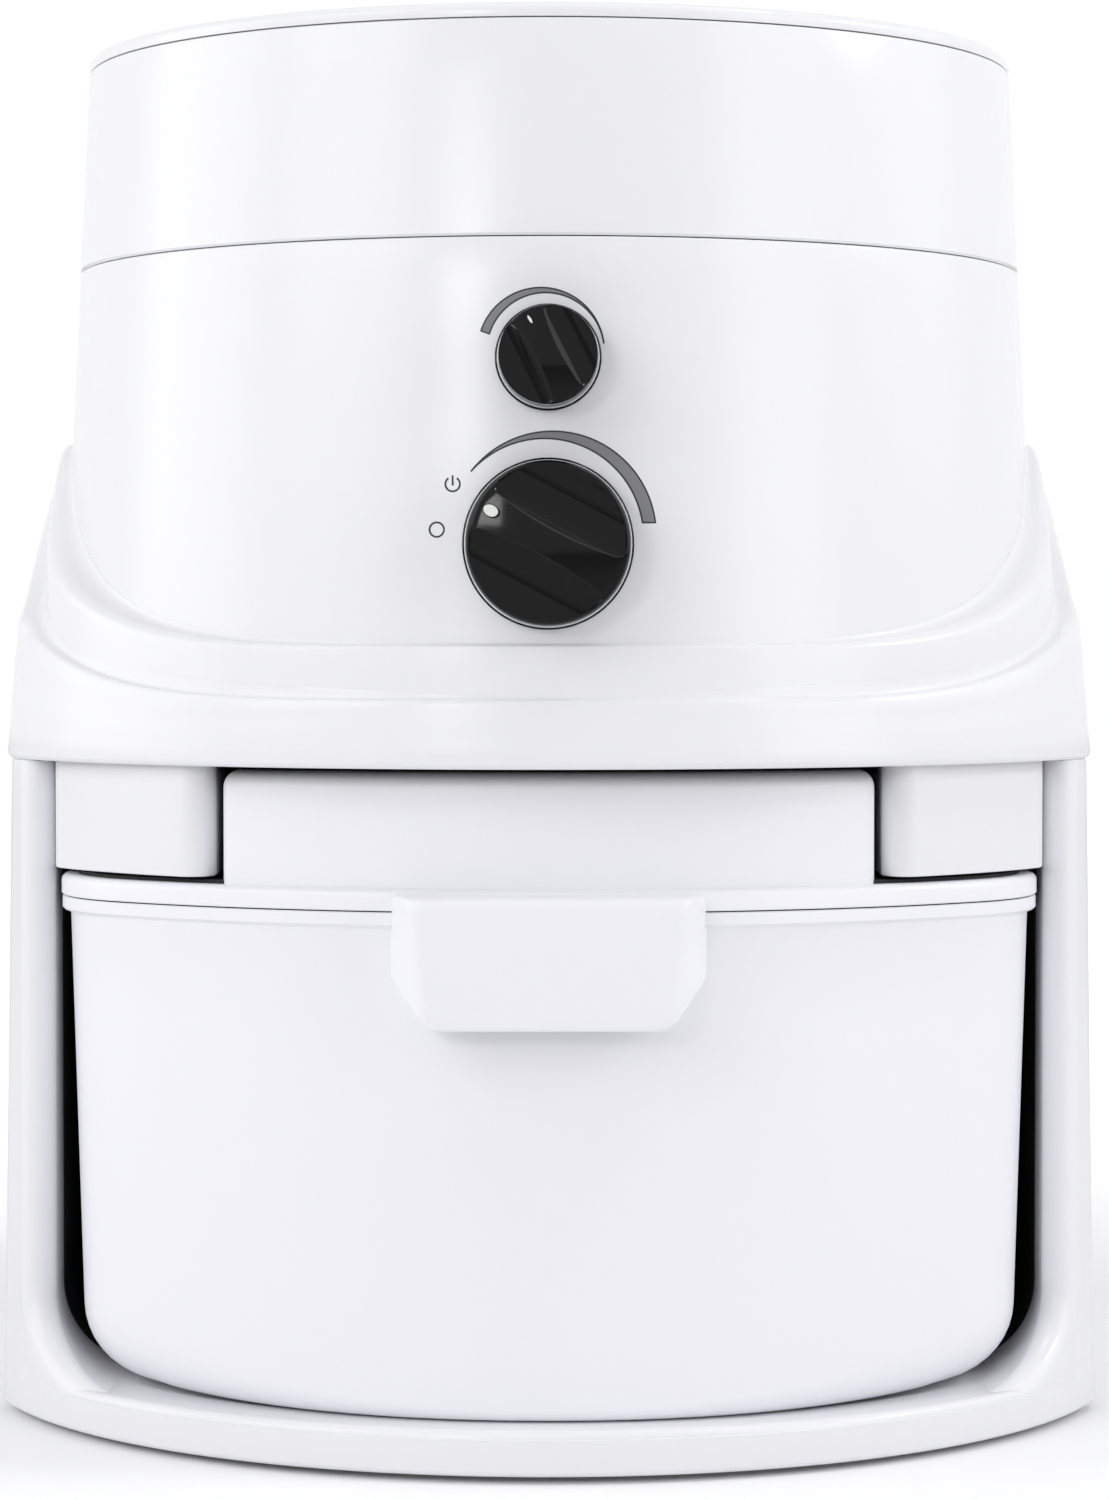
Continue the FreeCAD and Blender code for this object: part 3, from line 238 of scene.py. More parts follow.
def arc(cx: float, cy: float, radius: float, start: float, end: float, steps: int) -> Outline:
    """Points along a circular arc, both ends included.

    Args:
        cx: centre across.
        cy: centre in depth or height.
        radius: radius.
        start: first angle in radians.
        end: last angle in radians.
        steps: number of spaces.

    Returns:
        The points.
    """
    return [(cx + radius * math.cos(start + (end - start) * k / steps),
             cy + radius * math.sin(start + (end - start) * k / steps)) for k in range(steps + 1)]


def offset(outline: Outline, distance: float | list[float]) -> Outline:
    """Moves a counter-clockwise outline inwards.

    Args:
        outline: plan points.
        distance: how far inwards, in millimetres, one value or one for each point.

    Returns:
        The moved points.
    """
    moved = []
    count = len(outline)
    steps = distance if isinstance(distance, list) else [distance] * count
    for k, (x, y) in enumerate(outline):
        before = Vector(outline[k - 1])
        after = Vector(outline[(k + 1) % count])
        here = Vector((x, y))
        a = (here - before).normalized()
        b = (after - here).normalized()
        na = Vector((-a.y, a.x))
        nb = Vector((-b.y, b.x))
        push = (na + nb) / max(0.4, 1 + na.dot(nb))
        moved.append((x + push.x * steps[k], y + push.y * steps[k]))
    return moved


@dataclass(frozen=True)
class Plan:
    """Plan outline with a bowed front, rounded corners and a flat back, in millimetres."""

    half: float
    front: float
    back: float
    radius: float
    corner: float
    back_corner: float

    def inset(self, distance: float) -> "Plan":
        """Moves the outline inwards.

        Args:
            distance: how far.

        Returns:
            The smaller plan.
        """
        return Plan(self.half - distance, self.front + distance, self.back - distance, self.radius - distance,
                    max(self.corner - distance, 1.0), max(self.back_corner - distance, 1.0))

    def mix(self, other: "Plan", share: float) -> "Plan":
        """Blends two plans.

        Args:
            other: the plan at share 1.
            share: how far towards it.

        Returns:
            The blended plan.
        """
        values = [a + (b - a) * share for a, b in zip(self.values(), other.values())]
        return Plan(*values)

    def values(self) -> tuple[float, ...]:
        """Lists the six sizes.

        Returns:
            The sizes in order.
        """
        return (self.half, self.front, self.back, self.radius, self.corner, self.back_corner)

    def lean(self) -> tuple[float, float, float]:
        """Finds where the front arc meets the corner.

        Returns:
            The corner's centre and the angle at the joint.
        """
        middle = self.front + self.radius
        cx = self.half - self.corner
        cy = middle - math.sqrt((self.radius - self.corner) ** 2 - cx ** 2)
        return cx, cy, math.atan2(cy - middle, cx)

    def points(self) -> Outline:
        """Lists the outline counter-clockwise from the front's left end.

        Returns:
            The points, always the same number.
        """
        cx, cy, lean = self.lean()
        middle = self.front + self.radius
        side_top = self.back - self.back_corner
        bx = self.half - self.back_corner
        outline = arc(0, middle, self.radius, -math.pi - lean, lean, 84)
        outline += arc(cx, cy, self.corner, lean, 0, 16)[1:]
        outline += [(self.half, cy + (side_top - cy) * k / 30) for k in range(1, 31)]
        outline += arc(bx, side_top, self.back_corner, 0, math.pi / 2, 16)[1:]
        outline += [(bx - 2 * bx * k / 12, self.back) for k in range(1, 13)]
        outline += arc(-bx, side_top, self.back_corner, math.pi / 2, math.pi, 16)[1:]
        outline += [(-self.half, side_top + (cy - side_top) * k / 30) for k in range(1, 31)]
        outline += arc(-cx, cy, self.corner, math.pi, -math.pi - lean + 2 * math.pi, 16)[1:-1]
        return outline

    def ring(self, z: float) -> Ring:
        """Places the outline at a height.

        Args:
            z: the height.

        Returns:
            The ring.
        """
        return [(x, y, z) for x, y in self.points()]


def fillet_rings(plan: Plan, z: float, radius: float, top: bool, steps: int = 5) -> list[Ring]:
    """Rings of a rounded edge, from the wall to the flat at a top, or from the flat to the wall at a bottom.

    Args:
        plan: the wall's plan.
        z: level of the flat.
        radius: size of the round.
        top: True for an upper edge.
        steps: spaces across the round.

    Returns:
        The rings.
    """
    rings = []
    for k in range(steps + 1):
        angle = math.pi / 2 * k / steps if top else math.pi / 2 * (1 - k / steps)
        level = z - radius + radius * math.sin(angle) if top else z + radius - radius * math.sin(angle)
        rings.append(plan.inset(radius - radius * math.cos(angle)).ring(level))
    return rings


class Grain(Enum):
    """Surface patterns of the finishes."""

    MOULDED = "moulded"
    POLISHED = "polished"
    SPARK = "spark"
    BRUSHED = "brushed"
    TURNED = "turned"
    CAST = "cast"
    FOAM = "foam"
    WOUND = "wound"
    LAMINATED = "laminated"


# How each directional pattern is drawn out along the three axes
STRETCH: dict[Grain, Point] = {
    Grain.BRUSHED: (1.0, 14.0, 14.0), Grain.TURNED: (1.0, 1.0, 18.0), Grain.WOUND: (1.0, 1.0, 6.0),
    Grain.LAMINATED: (0.05, 0.05, 1.0),
}


def linear(colour: str) -> tuple[float, float, float, float]:
    """Turns an sRGB hex colour into linear light.

    Args:
        colour: a colour such as "#F3F3F6".

    Returns:
        Linear red, green, blue and alpha.
    """
    channels = [int(colour[k:k + 2], 16) / 255 for k in (1, 3, 5)]
    lit = [c / 12.92 if c <= 0.04045 else ((c + 0.055) / 1.055) ** 2.4 for c in channels]
    return (lit[0], lit[1], lit[2], 1.0)


def node(tree: bpy.types.NodeTree, kind: str, settings: dict | None = None,
         links: dict | None = None) -> bpy.types.Node:
    """Adds one shader node with its settings and incoming links.

    Args:
        tree: the node tree.
        kind: the node's type.
        settings: input values by socket name, and properties by attribute name.
        links: outgoing sockets by the input they feed.

    Returns:
        The node.
    """
    made = tree.nodes.new(kind)
    for key, value in (settings or {}).items():
        if hasattr(made, key):
            setattr(made, key, value)
        else:
            made.inputs[key].default_value = value
    for key, socket in (links or {}).items():
        tree.links.new(socket, made.inputs[key])
    return made


@dataclass(frozen=True)
class Finish:
    """A real material: its colour, gloss and surface grain."""

    name: str
    colour: str
    roughness: float
    grain: Grain
    metal: float = 0.0
    grain_mm: float = 1.0
    depth_mm: float = 0.01
    spread: float = 0.04
    coat: float = 0.0
    specular: float = 0.5
    tint: float = 0.02

    def build(self) -> bpy.types.Material:
        """Makes the material's nodes.

        Returns:
            The material.
        """
        material = bpy.data.materials.new(self.name)
        material.use_nodes = True
        tree = material.node_tree
        tree.nodes.clear()
        place = node(tree, "ShaderNodeTexCoord").outputs["Object"]
        stretch = STRETCH.get(self.grain, (1, 1, 1))
        mapped = node(tree, "ShaderNodeMapping", {"Scale": stretch}, {"Vector": place}).outputs["Vector"]
        scale = 1000.0 / self.grain_mm
        if self.grain in (Grain.FOAM, Grain.SPARK):
            pattern = node(tree, "ShaderNodeTexVoronoi", {"Scale": scale},
                           {"Vector": mapped}).outputs["Distance"]
        elif self.grain in (Grain.WOUND, Grain.LAMINATED):
            pattern = node(tree, "ShaderNodeTexWave",
                           {"Scale": scale / WAVE_PERIOD, "bands_direction": "Z", "Distortion": 0.4},
                           {"Vector": mapped}).outputs["Fac"]
        else:
            pattern = node(tree, "ShaderNodeTexNoise", {"Scale": scale, "Detail": 3.0, "Roughness": 0.5},
                           {"Vector": mapped}).outputs["Fac"]
        wear = node(tree, "ShaderNodeTexNoise", {"Scale": 1000.0 / WEAR_MM, "Detail": 2.0},
                    {"Vector": place}).outputs["Fac"]
        rough = node(tree, "ShaderNodeMapRange", {"To Min": self.roughness - self.spread / 2,
                                                 "To Max": self.roughness + self.spread / 2},
                     {"Value": wear}).outputs["Result"]
        shade = node(tree, "ShaderNodeMapRange", {"To Min": 1.0 - self.tint, "To Max": 1.0},
                     {"Value": pattern}).outputs["Result"]
        base = node(tree, "ShaderNodeVectorMath", {"operation": "SCALE"}, {"Scale": shade})
        base.inputs[0].default_value = linear(self.colour)[:3]
        bump = node(tree, "ShaderNodeBump", {"Distance": self.depth_mm * MM, "Strength": 0.6},
                    {"Height": pattern}).outputs["Normal"]
        surface = node(tree, "ShaderNodeBsdfPrincipled",
                       {"Metallic": self.metal, "Coat Weight": self.coat, "Coat Roughness": 0.06,
                        "Specular IOR Level": self.specular},
                       {"Base Color": base.outputs["Vector"], "Roughness": rough, "Normal": bump})
        node(tree, "ShaderNodeOutputMaterial", {}, {"Surface": surface.outputs["BSDF"]})
        return material


# Smooth glossy ABS of the housing, the hopper, the base and the guide blocks
WHITE = Finish("white_abs_gloss", "#EFEFF3", 0.24, Grain.MOULDED, grain_mm=2.2, depth_mm=0.004, spread=0.05,
               specular=0.42, tint=0.008)
# The bowl, its lid and its finger pull: a slightly duller moulding
BOWL_WHITE = Finish("white_polypropylene", "#F3F3F8", 0.32, Grain.MOULDED, grain_mm=1.8, depth_mm=0.005,
                    spread=0.05, specular=0.4, tint=0.01)
# Polished black knob plastic
BLACK = Finish("black_abs_polished", "#0A0A0B", 0.09, Grain.POLISHED, grain_mm=3.0, depth_mm=0.002,
               spread=0.03, specular=0.2, tint=0.02)
# Thin bright edge ring on the knobs
PALE_RING = Finish("grey_edge_ring", "#CDCFD2", 0.3, Grain.POLISHED, grain_mm=1.0, depth_mm=0.002)
# Pad-printed inks on the housing and the knobs
GREY_INK = Finish("grey_printing_ink", "#808084", 0.45, Grain.MOULDED, grain_mm=0.4, depth_mm=0.002)
BLACK_INK = Finish("black_printing_ink", "#17171A", 0.45, Grain.MOULDED, grain_mm=0.4, depth_mm=0.002)
PALE_INK = Finish("pale_printing_ink", "#E4E8E4", 0.4, Grain.MOULDED, grain_mm=0.4, depth_mm=0.002)
# Finishes of the inner parts
# Charcoal plastic of the inner parts; on the bay's liner behind the bowl this dark colour is painted shade of
# the deep bay
DARK_AND_BAY_SHADE = Finish("charcoal_nylon_and_bay_shade", "#242527", 0.55, Grain.SPARK, grain_mm=0.7, depth_mm=0.02, tint=0.08)
SATIN = Finish("ivory_nylon_satin", "#DAD9D3", 0.4, Grain.MOULDED, grain_mm=1.0, depth_mm=0.01)
RUBBER = Finish("black_rubber_matt", "#1C1C1D", 0.8, Grain.SPARK, grain_mm=0.5, depth_mm=0.02, tint=0.1)
SCREW = Finish("zinc_plated_steel", "#C9CACC", 0.25, Grain.BRUSHED, metal=1.0, grain_mm=0.5, depth_mm=0.003)
STEEL = Finish("turned_stainless_steel", "#B5B7BA", 0.28, Grain.TURNED, metal=1.0, grain_mm=3.0,
               depth_mm=0.006)
CORE = Finish("laminated_core_steel", "#77797C", 0.42, Grain.LAMINATED, metal=1.0, grain_mm=1.0,
              depth_mm=0.03, tint=0.3)
CAST = Finish("cast_aluminium", "#BFC1C3", 0.45, Grain.CAST, metal=1.0, grain_mm=0.8, depth_mm=0.03,
              tint=0.08)
COPPER = Finish("enamelled_copper_wire", "#B8663A", 0.3, Grain.WOUND, metal=1.0, grain_mm=0.6,
                depth_mm=0.1, tint=0.35, coat=0.3)
CARBON = Finish("pressed_carbon", "#1A1A1B", 0.6, Grain.CAST, grain_mm=0.4, depth_mm=0.01, tint=0.2)
FOAM = Finish("open_cell_foam", "#55585C", 0.9, Grain.FOAM, grain_mm=0.9, depth_mm=0.3, tint=0.4)
BOARD = Finish("green_solder_resist", "#1E6B3C", 0.35, Grain.BRUSHED, grain_mm=0.6, depth_mm=0.01, coat=0.3)
FLOOR = Finish("white_studio_paper", "#F4F4F5", 0.9, Grain.MOULDED, grain_mm=0.6, depth_mm=0.01, tint=0.01)


class Paint:
    """Makes each finish once and puts it on pieces and on carried-over nodes."""

    def __init__(self) -> None:
        """Starts with no material made."""
        self.made: dict[str, bpy.types.Material] = {}

    def of(self, finish: Finish) -> bpy.types.Material:
        """Gives the material of a finish.

        Args:
            finish: the finish.

        Returns:
            Its material.
        """
        if finish.name not in self.made:
            self.made[finish.name] = finish.build()
        return self.made[finish.name]

    def coat(self, obj: bpy.types.Object, finish: Finish) -> bpy.types.Object:
        """Gives every face of an object one finish.

        Args:
            obj: the object.
            finish: the finish.

        Returns:
            The same object.
        """
        if not obj.data.materials:
            obj.data.materials.append(self.of(finish))
        for index in range(len(obj.data.materials)):
            obj.data.materials[index] = self.of(finish)
        return obj


@dataclass(frozen=True)
class Sweep:
    """Swept upper surface of a terrace: level in front, rising on an arc, level again at the shoulder."""

    ledge: float
    radius: float
    shoulder: float
    start: float = -118.0
    blend: float = 30.0

    def height(self, y: float) -> float:
        """Finds the surface's level.

        Args:
            y: the depth.

        Returns:
            The height there.
        """
        if y <= self.start:
            return self.ledge
        rise = self.ledge + self.radius - (self.shoulder - self.blend)
        reach = math.sqrt((self.radius + self.blend) ** 2 - rise ** 2)
        crest = self.start + reach
        joint = self.start + reach * self.radius / (self.radius + self.blend)
        if y < joint:
            return self.ledge + self.radius - math.sqrt(self.radius ** 2 - (y - self.start) ** 2)
        if y < crest:
            return self.shoulder - self.blend + math.sqrt(self.blend ** 2 - (y - crest) ** 2)
        return self.shoulder


@dataclass(frozen=True)
class EdgeCut:
    """Sizes of a terrace's rounded edge at one point of its outline."""

    z: float
    near: Vector
    out: Vector
    radius: float
    end: float
    target: Vector
    stop: Vector
    cove: float
    foot: float


@dataclass(frozen=True)
class Terrace:
    """A skirt of the housing with a swept top that runs in to the next wall."""

    low: Plan
    high: Plan
    z0: float
    z1: float
    sweep: Sweep
    edge: float
    wall_mm: float = 3.0
    turn_back: float = 12.0
    tucked: float = 2.5

    @cache
    def wall(self, z: float) -> Outline:
        """Gives the skirt's outline at a height.

        Args:
            z: the height.

        Returns:
            The outline.
        """
        return self.low.mix(self.high, (z - self.z0) / (self.z1 - self.z0)).points()

    def build(self, name: str, inner: Callable[[float], Outline], bottom: float,
              lip: float) -> bpy.types.Object:
        """Grows the skirt, its rounded edge, its top and a hidden return inside.

        Args:
            name: the object's name.
            inner: outline of the next wall at a height.
            bottom: level of the skirt's lower edge.
            lip: size of the round at the lower edge.

        Returns:
            The closed skirt.
        """
        low = self.wall(bottom)
        inside = offset(low, self.wall_mm)
        rings = [[(x, y, z) for x, y in inside] for z in (bottom + self.turn_back, bottom)]
        for k in range(5):
            angle = math.pi / 2 * k / 4
            rings.append([(x, y, bottom + lip - lip * math.cos(angle))
                          for x, y in offset(low, lip - lip * math.sin(angle))])
        tops = [self.edge_start(index, inner) for index in range(len(low))]
        for share in (0.25, 0.5, 0.75):
            ring = []
            for index, top in enumerate(tops):
                z = bottom + lip + (top.z - bottom - lip) * share
                ring.append((*self.at(index, z), z))
            rings.append(ring)
        for k in range(8):
            rings.append([self.on_edge(top, k / 7) for top in tops])
        for k in range(1, 9):
            rings.append([self.on_top(top, k / 8) for top in tops])
        for k in range(1, 6):
            rings.append([self.on_cove(top, k / 5) for top in tops])
        rings.append([self.hidden(top, top.foot + self.wall_mm) for top in tops])
        rings.append([self.hidden(top, bottom + self.turn_back) for top in tops])
        rings.append(rings[0])
        return ringed(name, rings, True)

    def at(self, index: int, z: float) -> tuple[float, float]:
        """Gives one outline point at a height.

        Args:
            index: which point.
            z: the height.

        Returns:
            The point.
        """
        return self.wall(round(z, 1))[index]

    def edge_start(self, index: int, inner: Callable[[float], Outline]) -> EdgeCut:
        """Works out the rounded edge at one point of the outline.

        Args:
            index: which point.
            inner: outline of the next wall at a height.

        Returns:
            The edge's sizes there.
        """
        z = self.sweep.ledge
        for _ in range(3):
            x, y = self.at(index, z)
            z = self.sweep.height(y)
        outer = Vector((x, y))
        target = Vector(inner(z)[index])
        out = outer - target
        width = out.length
        out = out / width
        radius = min(self.edge, 0.5 * width)
        near = outer - out * radius
        slope = (self.sweep.height(near.y - out.y) - self.sweep.height(near.y)) if abs(out.y) > 0.01 else 0.0
        end = math.atan2(1, max(-0.2, slope))
        stop = near + out * radius * math.cos(end)
        level = self.sweep.height(stop.y) - radius * math.sin(end)
        return EdgeCut(level, near, out, radius, end, target, stop, min(3.0, 0.3 * width),
                       self.sweep.height(target.y))

    def on_edge(self, top: EdgeCut, share: float) -> Point:
        """Gives a point on the rounded edge.

        Args:
            top: the edge's sizes.
            share: how far round.

        Returns:
            The point.
        """
        angle = top.end * share
        place = top.near + top.out * top.radius * math.cos(angle)
        return (place.x, place.y, top.z + top.radius * math.sin(angle))

    def on_top(self, top: EdgeCut, share: float) -> Point:
        """Gives a point on the terrace's upper surface.

        Args:
            top: the edge's sizes.
            share: how far from the edge to the cove.

        Returns:
            The point.
        """
        last = top.target + top.out * top.cove
        place = top.stop.lerp(last, share)
        return (place.x, place.y, self.sweep.height(place.y))

    def on_cove(self, top: EdgeCut, share: float) -> Point:
        """Gives a point on the hollow at the foot of the next wall.

        Args:
            top: the edge's sizes.
            share: how far up the hollow.

        Returns:
            The point.
        """
        angle = math.pi / 2 * share
        size = top.cove
        place = top.target + top.out * size * (1 - math.sin(angle))
        return (place.x, place.y, self.sweep.height(place.y) + size * (1 - math.cos(angle)))

    def hidden(self, top: EdgeCut, z: float) -> Point:
        """Gives a point inside the next wall.

        Args:
            top: the edge's sizes.
            z: the height.

        Returns:
            The point.
        """
        place = top.target - top.out * self.tucked
        return (place.x, place.y, z)


@dataclass
class Housing:
    """Round drum over two swept terraces, with the printed scales beside the knobs."""

    paint: Paint
    join_z: float = 147.8
    top_z: float = 257.9
    collar: float = 96.35
    taper: float = 0.0476
    base_radius: float = 108.0
    wall: float = 3.0
    terrace_top: float = 222.0
    terrace_edge: float = 5.0
    marks: list[bpy.types.Object] = field(default_factory=list)

    def radius(self, z: float) -> float:
        """Gives the drum's radius at a height.

        Args:
            z: the height.

        Returns:
            The radius.
        """
        return self.base_radius + self.taper * (258.0 - z)

    def drum_outline(self, like: Outline, z: float) -> Outline:
        """Drum outline with one point for each point of another outline.

        Args:
            like: the other outline.
            z: the height.

        Returns:
            The drum's points.
        """
        radius = self.radius(z)
        angles = [math.atan2(y - AXIS_Y, x) for x, y in like]
        return [(radius * math.cos(a), AXIS_Y + radius * math.sin(a)) for a in angles]

    def build(self) -> None:
        """Makes the drum, its terraces and the printed marks."""
        lower = Terrace(Plan(121.4, -127.0, 136.5, 134.0, 14.0, 34.0),
                        Plan(115.6, -122.5, 131.5, 129.0, 18.0, 34.0), self.join_z, self.terrace_top,
                        Sweep(ledge=162.2, radius=150.0, shoulder=212.5), self.terrace_edge)
        upper = Terrace(Plan(114.4, -125.4, 128.0, 126.0, 50.0, 60.0),
                        Plan(112.2, -123.0, 126.0, 124.0, 50.0, 60.0), self.join_z, self.terrace_top,
                        Sweep(ledge=173.5, radius=120.0, shoulder=219.5), self.terrace_edge)
        skirt = lower.build("housing_skirt", upper.wall, self.join_z, 1.6)
        step = upper.build("housing_step", lambda z: self.drum_outline(upper.wall(z), z), self.join_z + 4,
                           1.0)
        foot, top, edge = self.join_z + 6, self.top_z, 0.5
        profile = [(self.radius(foot) - self.wall, foot), (self.radius(foot), foot)]
        profile += [(self.radius(z), z) for z in range(160, 251, 10)]
        profile += [(self.radius(top) - edge + edge * math.cos(a), top - edge + edge * math.sin(a))
                    for a in (0, 0.4, 0.8, 1.2, math.pi / 2)]
        profile += [(self.collar, top), (self.collar, top - self.wall)]
        profile += [(self.radius(top) - self.wall, top - self.wall)]
        drum = lathe("housing_drum", profile, steps=192)
        shell = join(skirt, step, drum)
        shell.name = "housing_outer"
        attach(self.paint.coat(shell, WHITE), "frame")
        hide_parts("housing_shell")
        self.print_marks()

    def wrap(self, x: float, z: float, lift: float) -> Point:
        """Puts a printed point on the drum.

        Args:
            x: place across.
            z: height.
            lift: how far out of the surface.

        Returns:
            The point on the drum.
        """
        radius = self.radius(z) + lift
        return (x, AXIS_Y - math.sqrt(radius ** 2 - x ** 2), z)

    def strip(self, name: str, outer: Outline, inner: Outline,
              lift: float, finish: Finish) -> bpy.types.Object:
        """Makes a thin printed strip between two curves.

        Args:
            name: the object's name.
            outer: points of one edge.
            inner: points of the other.
            lift: how far the print stands out.
            finish: the ink.

        Returns:
            The strip.
        """
        rings = []
        for (ox, oz), (ix, iz) in zip(outer, inner):
            rings.append([self.wrap(ox, oz, lift), self.wrap(ix, iz, lift),
                          self.wrap(ix, iz, -0.3), self.wrap(ox, oz, -0.3)])
        mark = self.paint.coat(ringed(name, rings), finish)
        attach(mark, "frame")
        self.marks.append(mark)
        return mark

    def wedge(self, name: str, big: tuple[float, float, float, float, float],
              small: tuple[float, float, float, float, float]) -> None:
        """Prints a tapering scale wedge with its dark outline.

        Args:
            name: the object's name.
            big: centre x, centre z, radius, first and last angle of the outer edge.
            small: the same for the inner edge.
        """
        steps = 60
        for label, grow, lift, finish in (("edge", 0.17, 0.02, BLACK_INK), ("fill", -0.17, 0.035, GREY_INK)):
            turn = math.degrees(grow / big[2])
            outer, inner = [arc(x, z, radius + swell, math.radians(first + turn), math.radians(last - turn),
                                steps)
                            for (x, z, radius, first, last), swell in ((big, grow), (small, -grow))]
            kept = [(o, i) for o, i in zip(outer, inner)
                    if math.hypot(o[0], o[1] - big[1]) - math.hypot(i[0], i[1] - big[1]) > 0.05]
            self.strip(f"{name}_{label}", [o for o, _ in kept], [i for _, i in kept], lift, finish)

    def ring_mark(self, name: str, x: float, z: float, radius: float, start: float, end: float) -> None:
        """Prints a thin circular line.

        Args:
            name: the object's name.
            x: centre across.
            z: centre height.
            radius: radius.
            start: first angle in degrees.
            end: last angle in degrees.
        """
        line = 0.19
        steps = 40
        outer = arc(x, z, radius + line, math.radians(start), math.radians(end), steps)
        inner = arc(x, z, radius - line, math.radians(start), math.radians(end), steps)
        self.strip(name, outer, inner, 0.03, BLACK_INK)

    def print_marks(self) -> None:
        """Prints both wedges and the two round symbols."""
        self.wedge("feed_scale", (0.82, 196.13, 21.40, 141.7, 7.0), (-0.85, 195.57, 20.48, 137.6, 8.9))
        self.wedge("speed_scale", (-1.60, 234.11, 13.09, 161.2, 7.5), (-0.66, 233.99, 12.17, 162.4, 8.7))
        self.ring_mark("power_symbol_ring", -19.85, 206.69, 1.5, 125, 415)
        bar = [(-20.04, 206.4), (-20.04, 208.5)]
        self.strip("power_symbol_bar", bar, [(x + 0.38, z) for x, z in bar], 0.03, BLACK_INK)
        self.ring_mark("off_symbol_ring", -23.15, 197.30, 1.5, 0, 359)


@dataclass
class Hopper:
    """Telescoping hopper band and the lid on it."""

    paint: Paint
    band: tuple[float, float] = (258.15, 303.2)
    edge: float = 0.5
    wall: float = 2.8
    sleeve: tuple[float, float] = (93.5, 96.0)
    sleeve_foot: float = 204.0
    web: tuple[float, float] = (3.3, 4.8)
    lid_z: tuple[float, float] = (303.45, 306.5)
    lid_radius: float = 105.85
    lid_round: float = 1.9
    lid_pole: float = 0.6
    lid_skirts: tuple[tuple[float, float], ...] = ((102.0, 100.0), (24.0, 20.0))
    skirt_depth: float = 6.0

    def build_band(self, housing: Housing) -> None:
        """Makes the band with the sleeve that slides in the drum.

        Args:
            housing: the drum, for its cone.
        """
        (low, high), edge = self.band, self.edge
        outer, upper = housing.radius(low), housing.radius(high)
        web_low, web_high = low + self.web[0], low + self.web[1]
        inside, outside = self.sleeve
        profile = [(outside, web_low), (outside, self.sleeve_foot), (inside, self.sleeve_foot),
                   (inside, web_high), (upper - self.wall, web_high), (upper - self.wall, high)]
        profile += [(upper - edge + edge * math.sin(a), high - edge + edge * math.cos(a))
                    for a in (0, 0.4, 0.8, 1.2, math.pi / 2)]
        profile += [(outer + (upper - outer) * k / 4, low + edge + (high - low - 2 * edge) * k / 4)
                    for k in (3, 2, 1, 0)]
        profile += [(outer - edge, low), (outside, low)]
        band = lathe("hopper_band", profile, steps=192)
        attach(self.paint.coat(band, WHITE), "hopper")
        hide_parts("hopper_extension")

    def build_lid(self) -> None:
        """Makes the lid with its rounded edge and the two ring skirts below."""
        (low, high), r, turn = self.lid_z, self.lid_radius, self.lid_round
        profile = [(self.lid_pole, high), (r - turn, high)]
        profile += [(r - turn + turn * math.sin(a), high - turn + turn * math.cos(a))
                    for a in [math.pi / 2 * k / 6 for k in range(1, 7)]]
        profile += [(r - 0.2, low)]
        for outside, inside in self.lid_skirts:
            profile += [(outside, low), (outside, low - self.skirt_depth), (inside, low - self.skirt_depth),
                        (inside, low)]
        lid = lathe("hopper_cover_disc", profile + [(self.lid_pole, low)], closed=False, steps=192)
        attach(self.paint.coat(lid, WHITE), "hopper_cover")
        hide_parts("hopper_lid")

    def build(self, housing: Housing) -> None:
        """Makes the band and the lid.

        Args:
            housing: the drum, for its cone.
        """
        self.build_band(housing)
        self.build_lid()


@dataclass(frozen=True)
class CoveLine:
    """One line from the round of the bay's corner outwards into the pillar."""

    x: float
    z: float
    across: float
    up: float
    reach: float
    nose: Outline

    def at(self, hand: int, out: float, y: float) -> Point:
        """Gives a point on the line.

        Args:
            hand: -1 for the left corner, 1 for the right.
            out: distance outwards from the bay.
            y: depth.

        Returns:
            The point.
        """
        return (hand * (self.x + self.across * out), y, self.z + self.up * out)

    def nose_out(self, step: int) -> float:
        """Gives how far outwards a step of the rounded front edge lies.

        Args:
            step: which step.

        Returns:
            The distance, short of the line's end.
        """
        return min(self.nose[step][0], 0.95 * self.reach)


